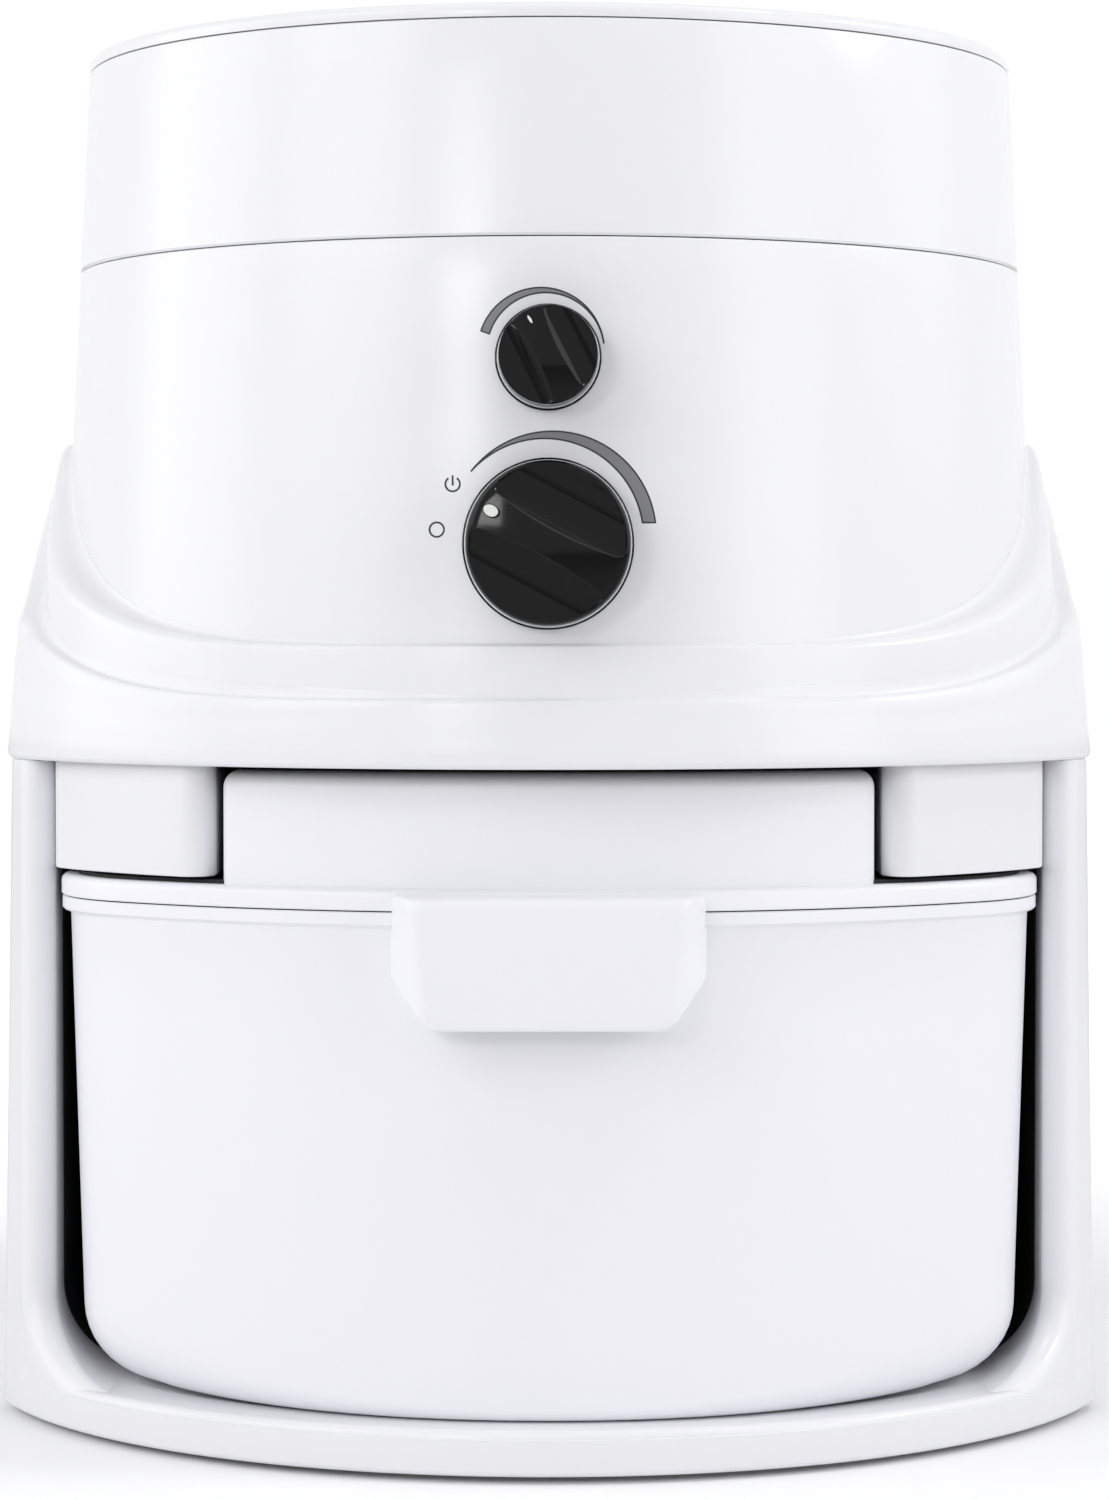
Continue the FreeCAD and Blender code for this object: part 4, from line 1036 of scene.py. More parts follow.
@dataclass
class Base:
    """Low D-shaped foot with a rounded front lip and two side pillars joined behind the bay."""

    paint: Paint
    low: Plan = Plan(123.5, -127.0, 136.5, 132.5, 12.0, 34.0)
    high: Plan = Plan(120.6, -126.0, 136.5, 132.5, 12.0, 34.0)
    bottom: float = 1.5
    join_z: float = 147.8
    crease: float = 9.2
    plate_top: float = 11.0
    recess_top: float = 10.4
    bay_half: float = 110.0
    bay_corner: float = 19.0
    liner_front: float = -41.0
    bay_back: float = 104.5
    nose: float = 4.0
    cove_steps: int = 24
    cove_half: float = 118.5
    cove_depth: float = 2.2

    def plate(self) -> bpy.types.Object:
        """Makes the foot with its lip, its shelf and the hollow below.

        Returns:
            The plate.
        """
        wall = self.low.mix(self.high, (self.crease - self.bottom) / (self.join_z - self.bottom))
        hollow = self.low.inset(4.0)
        rings = [hollow.ring(6.4), hollow.ring(self.bottom)]
        rings += fillet_rings(self.low, self.bottom, 1.4, False)
        rings += [wall.ring(self.crease), wall.inset(0.35).ring(self.crease + 0.15)]
        for angle in (20, 40, 60, 80):
            turn = math.radians(angle)
            rings.append(wall.inset(0.35 + 1.6 * (1 - math.cos(turn)))
                         .ring(self.crease + 0.15 + 1.65 * math.sin(turn)))
        rings.append(wall.inset(2.6).ring(self.plate_top))
        shelf = self.low.inset(13.5)
        rings += [shelf.ring(self.plate_top), shelf.inset(0.2).ring(self.recess_top),
                  shelf.inset(40).ring(self.recess_top)]
        plate = ringed("base_plate", rings)
        carve(plate, block("liner_space", -111.6, 111.6, self.liner_front, 106.1, 8.8, 30))
        return plate

    def outline(self, z: float) -> Outline:
        """Gives the U-shaped wall's outline at a height.

        Args:
            z: the height.

        Returns:
            The points, counter-clockwise.
        """
        plan = self.low.mix(self.high, (z - self.bottom) / (self.join_z - self.bottom)).inset(0.02)
        cx, cy, lean = plan.lean()
        middle = plan.front + plan.radius
        nx = self.bay_half + self.nose
        ny = middle - math.sqrt((plan.radius - self.nose) ** 2 - nx ** 2)
        start = math.atan2(ny - middle, nx)
        side_top = plan.back - plan.back_corner
        bx = plan.half - plan.back_corner
        half = arc(nx, ny, self.nose, -math.pi, start, 10)
        half += arc(0, middle, plan.radius, start, lean, 8)[1:]
        half += arc(cx, cy, plan.corner, lean, 0, 12)[1:]
        half += [(plan.half, cy + (side_top - cy) * k / 20) for k in range(1, 21)]
        half += arc(bx, side_top, plan.back_corner, 0, math.pi / 2, 14)[1:]
        inner = self.bay_half + 1.6
        back = self.bay_back + 1.6
        end = [(inner, back), (inner, self.liner_front), (self.bay_half, self.liner_front)]
        return half + [(-x, y) for x, y in reversed(half)] + [(-x, y) for x, y in reversed(end)] + end

    def walls(self) -> bpy.types.Object:
        """Makes the pillars, the sides and the back as one closed wall.

        Returns:
            The wall.
        """
        rings = []
        for z in (self.crease - 1.0, 30.0, 60.0, 90.0, 120.0, self.join_z - 0.3):
            rings.append([(x, y, z) for x, y in self.outline(z)])
        rings.append([(x, y, self.join_z) for x, y in offset(self.outline(self.join_z), 0.3)])
        wall = ringed("base_walls", rings)
        carve(wall, block("duct", -85, 85, 109, 150, 18, 140))
        carve(wall, block("cover_ledge", -88.2, 88.2, 134.4, 150, 15.8, 140.2))
        return wall

    def front_at(self, x: float) -> float:
        """Gives the depth of the curved front at a place across.

        Args:
            x: the place across.

        Returns:
            The depth of the front face.
        """
        plan = self.low.mix(self.high, 0.1).inset(0.03)
        return plan.front + plan.radius - math.sqrt(plan.radius ** 2 - min(abs(x), 119.0) ** 2)

    def nose_profile(self, x: float, across: float) -> Outline:
        """Gives the rounded edge between the bay's wall and the curved front.

        Args:
            x: place across of the bay's wall.
            across: how much of the outward direction runs across.

        Returns:
            (distance outwards, depth) pairs from the wall to the front face.
        """
        near = self.front_at(x)
        far = near + 40.0
        for _ in range(40):
            middle = (near + far) / 2
            gap, best = min((math.hypot(s - self.nose, self.front_at(x + across * s) - middle), s)
                            for s in [self.nose * (0.6 + 0.02 * k) for k in range(80)])
            if gap < self.nose:
                near = middle
            else:
                far = middle
        last = math.atan2(self.front_at(x + across * best) - middle, best - self.nose) % (2 * math.pi)
        return [(self.nose + self.nose * math.cos(math.pi + (last - math.pi) * k / 7),
                 middle + self.nose * math.sin(math.pi + (last - math.pi) * k / 7)) for k in range(8)]

    def cove_lines(self) -> list[CoveLine]:
        """Works out the lines that fan outwards from the round of the bay's lower corner.

        Returns:
            The lines, from level to straight down.
        """
        r = self.bay_corner
        cx, cz = self.bay_half - r, self.recess_top + r
        lines = []
        for k in range(self.cove_steps + 1):
            angle = -math.pi / 2 * k / self.cove_steps
            across, up = math.cos(angle), math.sin(angle)
            side = (self.cove_half - cx) / across if across > 1e-6 else math.inf
            down = (self.recess_top - self.cove_depth - cz) / up if up < -1e-6 else math.inf
            x = cx + r * across
            lines.append(CoveLine(x, cz + r * up, across, up, min(side, down) - r,
                                  self.nose_profile(x, across)))
        return lines

    def coves(self) -> list[bpy.types.Object]:
        """Makes the rounded lower corners of the bay, flush with the pillars' fronts.

        Returns:
            The two corner pieces.
        """
        lines = self.cove_lines()
        made = []
        for hand, label in ((-1, "left"), (1, "right")):
            rows = [[line.at(hand, 0.0, self.liner_front) for line in lines]]
            rows += [[line.at(hand, line.nose_out(step), line.nose[step][1]) for line in lines]
                     for step in range(8)]
            for share in (0.3, 0.6, 0.97, 1.0):
                outs = [line.nose_out(7) + (line.reach - line.nose_out(7)) * share for line in lines]
                rows.append([line.at(hand, out, self.front_at(line.x + line.across * out))
                             for line, out in zip(lines, outs)])
            outer = rows.pop()
            behind = [(x, self.liner_front, z) for x, _, z in outer]
            rings = [row + (outer if index else behind)[::-1] for index, row in enumerate(rows)]
            made.append(ringed(f"base_cove_{label}", rings))
        return made

    def build(self) -> None:
        """Makes the whole base."""
        shell = join(self.plate(), self.walls(), *self.coves())
        shell.name = "base_outer"
        soften(shell)
        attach(self.paint.coat(shell, WHITE), "frame")
        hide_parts("base_frame")


@dataclass
class Guides:
    """The two blocks that hang in the front corners of the bay and guide the bowl's lid."""

    paint: Paint
    inner: float = 71.0
    outer: float = 109.3
    bottom: float = 124.0
    top: float = 147.8
    front: float = -123.0
    radius: float = 128.0
    back: float = 20.0
    inner_corner: float = 5.0
    outer_corner: float = 10.0
    lower_round: float = 0.5

    def outline(self) -> Outline:
        """Gives the right block's outline.

        Returns:
            The points, counter-clockwise.
        """
        middle = self.front + self.radius
        small, corner = self.inner_corner, self.outer_corner
        nx = self.inner + small
        ny = middle - math.sqrt((self.radius - small) ** 2 - nx ** 2)
        cx = self.outer - corner
        cy = middle - math.sqrt((self.radius - corner) ** 2 - cx ** 2)
        first, last = math.atan2(ny - middle, nx), math.atan2(cy - middle, cx)
        points = arc(nx, ny, small, -math.pi, first, 12)
        points += arc(0, middle, self.radius, first, last, 12)[1:]
        points += arc(cx, cy, corner, last, 0, 12)[1:]
        return points + [(self.outer, self.back), (self.inner, self.back)]

    def build(self) -> None:
        """Makes both blocks."""
        made = []
        plan = self.outline()
        turn = self.lower_round
        for side, label in ((-1, "left"), (1, "right")):
            rings = []
            for k in range(4, -1, -1):
                angle = math.pi / 2 * k / 4
                rings.append([(side * x, y, self.bottom + turn - turn * math.sin(angle))
                              for x, y in offset(plan, turn - turn * math.cos(angle))])
            rings.append([(side * x, y, self.top - 0.05) for x, y in plan])
            made.append(ringed(f"guide_{label}", rings))
        guides = join(*made)
        guides.name = "guide_pair"
        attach(self.paint.coat(guides, WHITE), "frame")
        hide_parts("guide_blocks")


@dataclass
class Bowl:
    """Slide-out flour bowl with its rim, its lid and the hooded finger pull."""

    paint: Paint
    low: Plan = Plan(103.2, -118.0, 94.2, 140.0, 45.0, 45.0)
    high: Plan = Plan(106.8, -118.2, 97.0, 140.0, 45.0, 45.0)
    rim_plan: Plan = Plan(108.6, -119.6, 98.6, 140.0, 45.0, 45.0)
    flange_plan: Plan = Plan(108.8, -119.8, 98.8, 140.0, 45.0, 45.0)
    bottom: float = 11.3
    rim: float = 117.7
    round_: float = 15.5
    front_round: float = 2.5
    wall: float = 2.5
    rim_band: float = 3.1
    flange_top: float = 122.6
    block_half: float = 69.2
    block_front: float = -117.0
    block_back: float = 90.0
    block_top: float = 146.9
    block_corner: float = 4.0
    block_round: float = 3.7
    hood_front: float = -129.0
    hood_root: float = -112.5
    hood_top: float = 121.6
    hood_bottom: float = 93.2
    hood_half: tuple[float, float] = (29.0, 26.8)
    hood_wing: float = 33.6
    hood_wing_bottom: float = 101.0
    hood_edge: float = 2.2
    hood_wall: float = 2.5
    hood_upper_corner: float = 1.2

    def plan_at(self, z: float) -> Plan:
        """Gives the bowl's plan at a height.

        Args:
            z: the height.

        Returns:
            The plan.
        """
        return self.low.mix(self.high, (z - self.bottom) / (self.rim - self.bottom))

    def turned_in(self, angle: float, wall: float) -> Ring:
        """Gives one ring of the bowl's bottom round, which is tighter in the middle of the front.

        Args:
            angle: how far round from the wall.
            wall: distance inside the outer face.

        Returns:
            The ring.
        """
        plan = self.plan_at(self.bottom + self.round_ * (1 - math.sin(angle)))
        points = plan.points()
        sizes = []
        for x, y in points:
            share = 1.0 if y > -60 else min(1.0, (abs(x) / 92.0) ** 2.5)
            sizes.append(max(1.5, self.front_round + (self.round_ - self.front_round) * share - wall))
        moved = offset(points, [wall + size * (1 - math.cos(angle)) for size in sizes])
        return [(x, y, self.bottom + wall + size * (1 - math.sin(angle)))
                for (x, y), size in zip(moved, sizes)]

    def build_bowl(self) -> None:
        """Makes the bowl's shell."""
        rings = [self.plan_at(self.bottom).inset(24).ring(self.bottom + self.wall)]
        for k in range(7):
            rings.append(self.turned_in(math.pi / 2 * (1 - k / 6), self.wall))
        rings.append(self.plan_at(self.rim).inset(self.wall).ring(self.rim - 0.3))
        rings.append(self.plan_at(self.rim).inset(self.wall - 0.3).ring(self.rim))
        rings.append(self.rim_plan.inset(0.3).ring(self.rim))
        rings.append(self.rim_plan.ring(self.rim - 0.3))
        rings.append(self.rim_plan.ring(self.rim - self.rim_band + 0.5))
        rings.append(self.rim_plan.inset(0.5).ring(self.rim - self.rim_band))
        under = self.rim - self.rim_band - 0.8
        rings.append(self.plan_at(under).inset(-0.3).ring(self.rim - self.rim_band - 0.1))
        rings.append(self.plan_at(under).ring(under))
        for k in range(1, 5):
            z = under + (self.bottom + self.round_ + 3 - under) * k / 4
            rings.append(self.plan_at(z).ring(z))
        for k in range(11):
            rings.append(self.turned_in(math.pi / 2 * k / 10, 0.0))
        bowl = ringed("bowl_shell", rings)
        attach(self.paint.coat(bowl, BOWL_WHITE), "flour_bowl")
        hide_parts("bowl")

    def block_outline(self) -> Outline:
        """Gives the raised block's outline.

        Returns:
            The points, counter-clockwise.
        """
        radius = self.flange_plan.radius
        middle = self.block_front + radius
        small = self.block_corner
        nx = self.block_half - small
        ny = middle - math.sqrt((radius - small) ** 2 - nx ** 2)
        start = math.atan2(ny - middle, nx)
        points = arc(0, middle, radius, -math.pi - start, start, 40)
        points += arc(nx, ny, small, start, 0, 6)[1:]
        points += [(self.block_half, self.block_back), (-self.block_half, self.block_back)]
        points += arc(-nx, ny, small, math.pi, math.pi - start, 6)[:-1]
        return points

    def build_lid(self) -> None:
        """Makes the lid: flange and raised block, with the wells cut in."""
        base = self.rim + 0.3
        rings = [self.flange_plan.inset(0.3).ring(base), self.flange_plan.ring(base + 0.3)]
        rings += fillet_rings(self.flange_plan, self.flange_top, 1.6, True)
        flange = ringed("lid_flange", rings)
        plan = self.block_outline()
        block_rings = [[(x, y, self.flange_top - 1.5) for x, y in plan]]
        turn = self.block_round
        for k in range(7):
            angle = math.pi / 2 * k / 6
            block_rings.append([(x, y, self.block_top - turn + turn * math.sin(angle))
                                for x, y in offset(plan, turn - turn * math.cos(angle))])
        raised = ringed("lid_block", block_rings)
        carve(flange, raised, "UNION")
        carve(flange, block("lid_port_cut", -12.2, 12.2, 48.6, 64.2, 110, 150))
        carve(flange, lathe("filter_well", [(30.2, 132.5), (30.2, 150.0)], closed=False, y=-45.0, steps=96))
        carve(flange, lathe("separator_well", [(24.1, 110.0), (24.1, 144.2)], closed=False, y=56.4, steps=96))
        lid = soften(flange)
        lid.name = "bowl_cover"
        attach(self.paint.coat(lid, BOWL_WHITE), "flour_bowl")
        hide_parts("bowl_lid")

    def hood_ring(self, y: float, shrink: float) -> Ring:
        """Gives the finger pull's outline at a depth.

        Args:
            y: the depth.
            shrink: how far the outline is moved in.

        Returns:
            The ring.
        """
        share = min(1.0, max(0.0, (y - self.hood_front) / (self.hood_root - self.hood_front)))
        top_half = self.hood_half[0] + (self.hood_wing - self.hood_half[0]) * share - shrink
        low_half = self.hood_half[1] + (self.hood_wing - self.hood_half[1]) * share - shrink
        low = self.hood_bottom + (self.hood_wing_bottom - self.hood_bottom) * share + shrink
        top = self.hood_top - shrink
        corner = 5.0 - 0.5 * shrink
        ring = [(x, y, z) for x, z in arc(low_half - corner, low + corner, corner, -math.pi / 2, 0, 10)]
        tight = self.hood_upper_corner
        ring += [(low_half + (top_half - low_half) * k / 8, y,
                  low + corner + (top - tight - low - corner) * k / 8) for k in range(1, 9)]
        ring += [(x, y, z) for x, z in arc(top_half - tight, top - tight, tight, 0, math.pi / 2, 5)][1:]
        return ring + [(-x, y, z) for x, y, z in reversed(ring)]

    def build_hood(self) -> None:
        """Makes the hooded finger pull with its cavity open below."""
        turn, wall = self.hood_edge, self.hood_wall
        rings = [self.hood_ring(self.hood_root + (self.hood_front + turn - self.hood_root) * k / 4, 0.0)
                 for k in range(5)]
        for k in range(1, 7):
            angle = math.pi / 2 * k / 6
            rings.append(self.hood_ring(self.hood_front + turn - turn * math.sin(angle),
                                        turn - turn * math.cos(angle)))
        hood = ringed("bowl_pull", rings)
        inside = self.hood_half[1] - wall
        carve(hood, block("finger_space", -inside, inside, self.hood_front + wall, self.hood_root + 4,
                          self.hood_bottom - 4, self.hood_top - 3))
        edge = self.rim - self.rim_band
        sunk = self.rim_plan.inset(0.3)
        trim = ringed("pull_trim", [self.plan_at(70.0).inset(0.6).ring(70.0),
                                    self.plan_at(edge).inset(0.6).ring(edge),
                                    sunk.ring(edge + 0.1), sunk.ring(130.0)])
        carve(hood, trim)
        soften(hood)
        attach(self.paint.coat(hood, BOWL_WHITE), "flour_bowl")
        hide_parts("bowl_handle")

    def build(self) -> None:
        """Makes the bowl, its lid and its finger pull."""
        self.build_bowl()
        self.build_lid()
        self.build_hood()


@dataclass(frozen=True)
class KnobSize:
    """Sizes of one knob in millimetres and degrees."""

    name: str
    node: str
    body: str
    x: float
    z: float
    radius: float
    back: float
    front: float
    bar_angle: float
    scoop: float
    edge: float
    chamfer: float
    waist: float = 3.0
    dome: float = 0.2


class Knob:
    """Black knob with a raised waisted bar between two scooped hollows."""

    # Sizes of a hollow as shares of the knob's radius
    RIM = 0.915
    BOW = 5.0
    SOFT = 0.14
    FLOOR_REACH = 1.3
    FLOOR_ACROSS = 0.555
    FLOOR_LIFT = 0.405

    def __init__(self, size: KnobSize, paint: Paint) -> None:
        """Keeps the sizes.

        Args:
            size: the knob's sizes.
            paint: the finishes.
        """
        self.size = size
        self.paint = paint

    def disc(self, name: str, profile: Outline, steps: int = 128) -> bpy.types.Object:
        """Turns a profile about the knob's own axis.

        Args:
            name: the object's name.
            profile: (radius, depth) pairs.
            steps: points around.

        Returns:
            The solid.
        """
        size = self.size
        turns = [2 * math.pi * k / steps for k in range(steps)]
        return ringed(name, [[(size.x + r * math.cos(a), y, size.z + r * math.sin(a)) for a in turns]
                             for r, y in profile])

    def place(self, along: float, across: float) -> tuple[float, float]:
        """Turns a point in the bar's own directions into the panel's.

        Args:
            along: distance along the bar.
            across: distance across it.

        Returns:
            Place across and height on the panel.
        """
        turn = math.radians(self.size.bar_angle)
        return (self.size.x + along * math.cos(turn) - across * math.sin(turn),
                self.size.z + along * math.sin(turn) + across * math.cos(turn))

    def hollow(self, side: int) -> tuple[bpy.types.Object, Outline]:
        """Makes the cutter for one half-moon hollow.

        Args:
            side: 1 or -1, the side of the bar.

        Returns:
            The cutter and its outline along and across the bar.
        """
        size = self.size
        rim, bow = size.radius * self.RIM, size.radius * self.BOW
        centre = size.waist + bow
        low = (rim ** 2 - bow ** 2 + centre ** 2) / (2 * centre)
        reach = math.sqrt(max(0.0, rim ** 2 - low ** 2))
        first = math.atan2(low, reach)
        outline = arc(0, 0, rim, first, math.pi - first, 40)
        spread = math.asin(reach / bow)
        swings = [-spread + 2 * spread * k / 24 for k in range(1, 24)]
        outline += [(bow * math.sin(a), centre - bow * math.cos(a)) for a in swings]
        tight = self.soft_corners(outline, size.radius * self.SOFT)
        flat = [self.place(u, side * v) for u, v in tight]
        name = f"{size.name}_hollow"
        cutter = ringed(name, [[(x, y, z) for x, z in flat] for y in (size.front - 2, size.front + 9)])
        soften(cutter)
        rings = []
        steps = 72
        for end in (-self.FLOOR_REACH, self.FLOOR_REACH):
            ring = []
            for k in range(steps):
                angle = 2 * math.pi * k / steps
                across = size.radius * self.FLOOR_ACROSS + size.scoop * math.cos(angle)
                x, z = self.place(end * size.radius, side * across)
                ring.append((x, size.front - size.radius * self.FLOOR_LIFT + size.scoop * math.sin(angle), z))
            rings.append(ring)
        carve(cutter, ringed(f"{name}_floor", rings), "INTERSECT")
        return cutter, tight

    def chamfer(self, side: int, outline: Outline) -> bpy.types.Object:
        """Makes the cutter for the slanted edge round a hollow.

        Args:
            side: 1 or -1, the side of the bar.
            outline: the hollow's outline along and across the bar.

        Returns:
            The cutter.
        """
        size = self.size
        rings = []
        for out, deep in ((0.0, size.chamfer), (size.chamfer, 0.0), (size.chamfer + 1.0, -1.0)):
            ring = []
            for u, v in offset(outline, -out):
                x, z = self.place(u, side * v)
                sag = size.radius * math.sin(size.dome) / 2 * ((u * u + v * v) / size.radius ** 2)
                ring.append((x, size.front + sag + deep, z))
            rings.append(ring)
        return soften(ringed(f"{size.name}_edge", rings))

    def crown(self, radius: float, front: float, chamfer: float) -> Outline:
        """Gives the profile of the knob's side, its edge and its domed face.

        Args:
            radius: the side's radius.
            front: depth of the face's middle.
            chamfer: size of the rounded edge.

        Returns:
            (radius, depth) pairs from the side to the middle.
        """
        dome = self.size.dome
        sag = radius * math.sin(dome) / 2
        edge = radius - 1.2 * chamfer
        points = [(radius - inward * chamfer, front + sag + back * chamfer)
                  for inward, back in ((0.0, 2.0), (0.25, 0.9), (0.7, 0.25))]
        points += [(edge * share, front + sag * share * share) for share in
                   (1.0, 0.9, 0.8, 0.7, 0.6, 0.5, 0.4, 0.3, 0.2, 0.1)]
        return points

    def soft_corners(self, outline: Outline, radius: float) -> Outline:
        """Rounds the two pointed ends of an outline by averaging along it.

        Args:
            outline: the closed outline.
            radius: about how far the round reaches.

        Returns:
            An evenly spaced, softened outline.
        """
        closed = outline + outline[:1]
        spaces = [math.dist(a, b) for a, b in zip(closed, closed[1:])]
        total = sum(spaces)
        count = 120
        even = []
        walked, index = 0.0, 0
        for k in range(count):
            goal = total * k / count
            while walked + spaces[index] < goal:
                walked += spaces[index]
                index += 1
            share = (goal - walked) / spaces[index]
            a, b = closed[index], closed[index + 1]
            even.append((a[0] + (b[0] - a[0]) * share, a[1] + (b[1] - a[1]) * share))
        window = max(1, round(radius / (total / count)))
        return [(sum(even[(k + j) % count][0] for j in range(-window, window + 1)) / (2 * window + 1),
                 sum(even[(k + j) % count][1] for j in range(-window, window + 1)) / (2 * window + 1))
                for k in range(count)]

    def build(self) -> None:
        """Makes the knob, its light ring and places both on their body."""
        size = self.size
        r, back, front, c = size.radius, size.back, size.front, size.edge
        collar = [(r - 0.3, back), (r, back - 0.3), (r, back - 1.4), (r - 0.25, back - 1.7),
                  (r - 0.75, back - 1.75), (r - 0.75, back - 2.0)]
        body = self.disc(f"{size.name}_body", collar + self.crown(r - 0.8, front, c))
        for side in (-1, 1):
            cutter, outline = self.hollow(side)
            carve(body, cutter)
            carve(body, self.chamfer(side, outline))
        soften(body, 28)
        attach(self.paint.coat(body, BLACK), size.body)
        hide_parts(size.node)
        ring = self.disc(f"{size.name}_ring", [(r - 0.7, back - 1.6), (r - 0.42, back - 1.9),
                                               (r - 0.62, back - 2.1), (r - 0.9, back - 2.1)])
        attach(self.paint.coat(ring, PALE_RING), size.body)


@dataclass
class Controls:
    """Both knobs and their pointer marks."""

    paint: Paint
    feed: KnobSize = KnobSize("feed_dial", "feed_knob", "feed_drive", x=-0.1, z=194.3, radius=17.7,
                              back=-123.72, front=-136.35, bar_angle=152.0, scoop=10.2, edge=0.7, chamfer=0.4)
    speed: KnobSize = KnobSize("speed_dial", "speed_knob", "speed_drive", x=-0.1, z=232.7, radius=11.0,
                               back=-121.58, front=-133.5, bar_angle=116.6, scoop=6.3, edge=0.45, chamfer=0.7)

    def oval(self, name: str, body: str, place: tuple[float, float], half: tuple[float, float],
             turn: float, y: float, finish: Finish, lift: float) -> bpy.types.Object:
        """Makes a thin oval printed mark on a knob's face.

        Args:
            name: the object's name.
            body: the body that it moves with.
            place: centre across and height.
            half: half length and half width.
            turn: direction of the length in degrees.
            y: depth of the face.
            finish: the ink.
            lift: thickness of the ink.

        Returns:
            The mark.
        """
        turned = math.radians(turn)
        ring = []
        for k in range(48):
            angle = 2 * math.pi * k / 48
            u, v = half[0] * math.cos(angle), half[1] * math.sin(angle)
            ring.append((place[0] + u * math.cos(turned) - v * math.sin(turned),
                         place[1] + u * math.sin(turned) + v * math.cos(turned)))
        mark = ringed(name, [[(x, depth, z) for x, z in ring] for depth in (y + 0.2, y - lift)])
        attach(self.paint.coat(mark, finish), body)
        return mark

    def build(self) -> None:
        """Makes the knobs and marks."""
        Knob(self.feed, self.paint).build()
        Knob(self.speed, self.paint).build()
        place, turn, face = (-11.75, 200.8), 155.0, self.feed.front + 0.55
        self.oval("feed_mark_line", "feed_drive", place, (1.75, 1.35), turn, face, BLACK_INK, 0.5)
        pale = self.oval("feed_mark", "feed_drive", place, (1.55, 1.15), turn, face, PALE_INK, 0.53)
        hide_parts("feed_pointer")
        dash = self.oval("speed_mark", "speed_drive", (-3.8, 239.7), (0.9, 0.27), 122.0,
                         self.speed.front + 0.35, PALE_INK, 0.4)
        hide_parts("speed_pointer")


SLOT_FINISH: dict[str, Finish] = {
    "white_shell": WHITE, "dark_plastic": DARK_AND_BAY_SHADE, "chamber_plastic": SATIN, "knob_black": BLACK,
    "mark_white": PALE_INK, "rubber": RUBBER, "screw_steel": SCREW, "mill_steel": STEEL, "core_steel": CORE,
    "bracket_aluminium": CAST, "copper": COPPER, "carbon": CARBON, "foam": FOAM, "board_green": BOARD,
}


def carry_over(paint: Paint) -> None:
    """Gives each CAD node that stays its finish; the charcoal finish on the bay's liner is painted shade.

    Args:
        paint: the finishes.
    """
    for part in frame["record"]["subparts"]:
        paint.coat(frame["nodes"][part["node"]], SLOT_FINISH[part["material_slot"]])


@dataclass(frozen=True)
class Lamp:
    """A rectangular soft lamp, in metres and watts."""

    name: str
    place: Point
    aim: Point
    size: tuple[float, float]
    power: float

    def build(self) -> None:
        """Hangs the lamp."""
        data = bpy.data.lights.new(self.name, "AREA")
        data.shape = "RECTANGLE"
        data.size, data.size_y = self.size
        data.energy = self.power
        obj = bpy.data.objects.new(self.name, data)
        obj.location = self.place
        obj.rotation_euler = (Vector(self.aim) - Vector(self.place)).to_track_quat("-Z", "Y").to_euler()
        bpy.context.scene.collection.objects.link(obj)


LAMPS = (
    Lamp("key_left", (-1.15, -1.05, 0.95), (0.0, 0.0, 0.17), (0.9, 1.1), 7.2),
    Lamp("fill_right", (1.35, -1.0, 0.6), (0.0, 0.0, 0.16), (0.8, 1.1), 5.2),
    Lamp("side_left", (-1.3, 0.0, 0.6), (0.0, 0.0, 0.16), (0.9, 0.9), 3.9),
    Lamp("side_right", (1.3, 0.0, 0.75), (0.0, 0.0, 0.18), (0.9, 0.9), 2.6),
    Lamp("top_soft", (0.0, -0.1, 1.6), (0.0, 0.0, 0.2), (1.6, 1.4), 3.8),
    Lamp("knob_kicker", (-0.30, -0.93, 0.37), (0.0, -0.13, 0.2), (0.15, 0.15), 0.75),
    Lamp("edge_right", (0.9, -0.2, 0.65), (0.0, -0.13, 0.2), (0.14, 0.14), 1.1),
    Lamp("edge_above", (0.47, -0.2, 1.08), (0.0, -0.13, 0.2), (0.14, 0.14), 0.8),
)


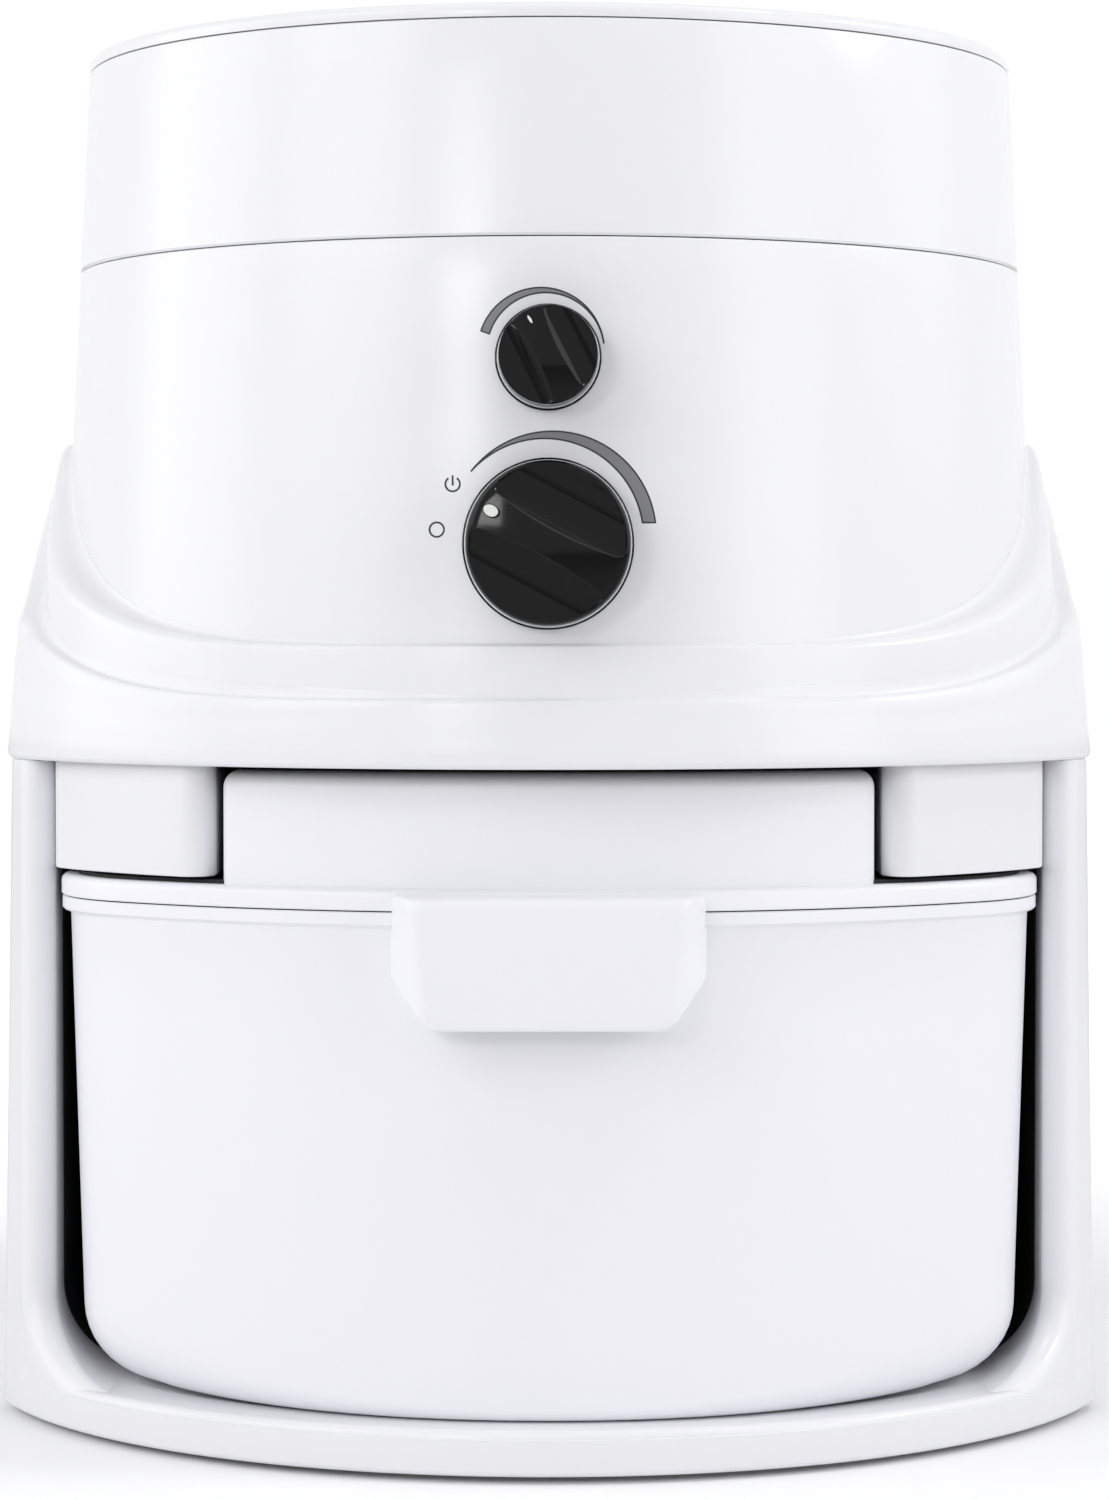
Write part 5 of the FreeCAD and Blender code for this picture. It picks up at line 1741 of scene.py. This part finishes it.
class Studio:
    """White floor and backdrop, soft lamps and the camera of the photograph."""

    def world(self) -> None:
        """Sets a soft white surround that shows pure white behind the mill."""
        world = bpy.data.worlds.new("studio")
        bpy.context.scene.world = world
        world.use_nodes = True
        tree = world.node_tree
        tree.nodes.clear()
        path = node(tree, "ShaderNodeLightPath")
        seen = node(tree, "ShaderNodeMath", {"operation": "ADD", "use_clamp": True})
        tree.links.new(path.outputs["Is Camera Ray"], seen.inputs[0])
        tree.links.new(path.outputs["Is Transmission Ray"], seen.inputs[1])
        shown = node(tree, "ShaderNodeMath", {"operation": "ADD", "use_clamp": True})
        tree.links.new(seen.outputs["Value"], shown.inputs[0])
        tree.links.new(path.outputs["Is Glossy Ray"], shown.inputs[1])
        level = node(tree, "ShaderNodeMapRange", {"To Min": 0.38, "To Max": 1.0},
                     {"Value": shown.outputs["Value"]})
        light = node(tree, "ShaderNodeBackground", {"Color": linear("#FFFFFF")},
                     {"Strength": level.outputs["Result"]})
        node(tree, "ShaderNodeOutputWorld", {}, {"Surface": light.outputs["Background"]})

    def brighten(self, material: bpy.types.Material) -> None:
        """Lifts the floor to the backdrop's white for the camera, and leaves its shadow.

        Args:
            material: the floor's material.
        """
        tree = material.node_tree
        surface = next(n for n in tree.nodes if n.type == "BSDF_PRINCIPLED")
        path = node(tree, "ShaderNodeLightPath")
        place = node(tree, "ShaderNodeTexCoord").outputs["Object"]
        away = node(tree, "ShaderNodeVectorMath", {"operation": "LENGTH"}, {"Vector": place}).outputs["Value"]
        level = node(tree, "ShaderNodeMapRange",
                     {"From Min": 0.12, "From Max": 0.75, "To Min": 0.05, "To Max": 0.64},
                     {"Value": away}).outputs["Result"]
        lift = node(tree, "ShaderNodeMath", {"operation": "MULTIPLY"})
        tree.links.new(level, lift.inputs[1])
        tree.links.new(path.outputs["Is Camera Ray"], lift.inputs[0])
        surface.inputs["Emission Color"].default_value = linear("#FFFFFF")
        tree.links.new(lift.outputs["Value"], surface.inputs["Emission Strength"])

    def build(self, paint: Paint) -> None:
        """Makes the floor, lamps, surround and camera.

        Args:
            paint: the finishes.
        """
        bpy.ops.mesh.primitive_plane_add(size=12.0, location=(0, 0, 0))
        floor = bpy.context.active_object
        floor.name = "studio_floor"
        paint.coat(floor, FLOOR)
        self.brighten(paint.of(FLOOR))
        self.world()
        for lamp in LAMPS:
            lamp.build()
        camera = bpy.data.cameras.new("photo_camera")
        camera.lens = 100.8
        camera.sensor_width = 36.0
        camera.clip_start = 0.05
        eye = bpy.data.objects.new("photo_camera", camera)
        eye.location = (0.0012, -0.989, 0.1776)
        eye.rotation_euler = (math.radians(90 - 1.705), 0.0, 0.0)
        bpy.context.scene.collection.objects.link(eye)
        bpy.context.scene.camera = eye
        bpy.context.scene.view_settings.view_transform = "Standard"


def main() -> None:
    """Builds the mill, its studio and reports each step."""
    logging.basicConfig(level=logging.INFO, format="%(message)s")
    paint = Paint()
    carry_over(paint)
    housing = Housing(paint)
    housing.build()
    LOG.info("housing and %d printed marks", len(housing.marks))
    Hopper(paint).build(housing)
    LOG.info("hopper band and lid")
    Base(paint).build()
    LOG.info("base and pillars")
    Guides(paint).build()
    LOG.info("guide blocks")
    Bowl(paint).build()
    LOG.info("bowl and lid")
    Controls(paint).build()
    LOG.info("knobs and marks")
    Studio().build(paint)
    LOG.info("studio")


if __name__ == "__main__":
    main()
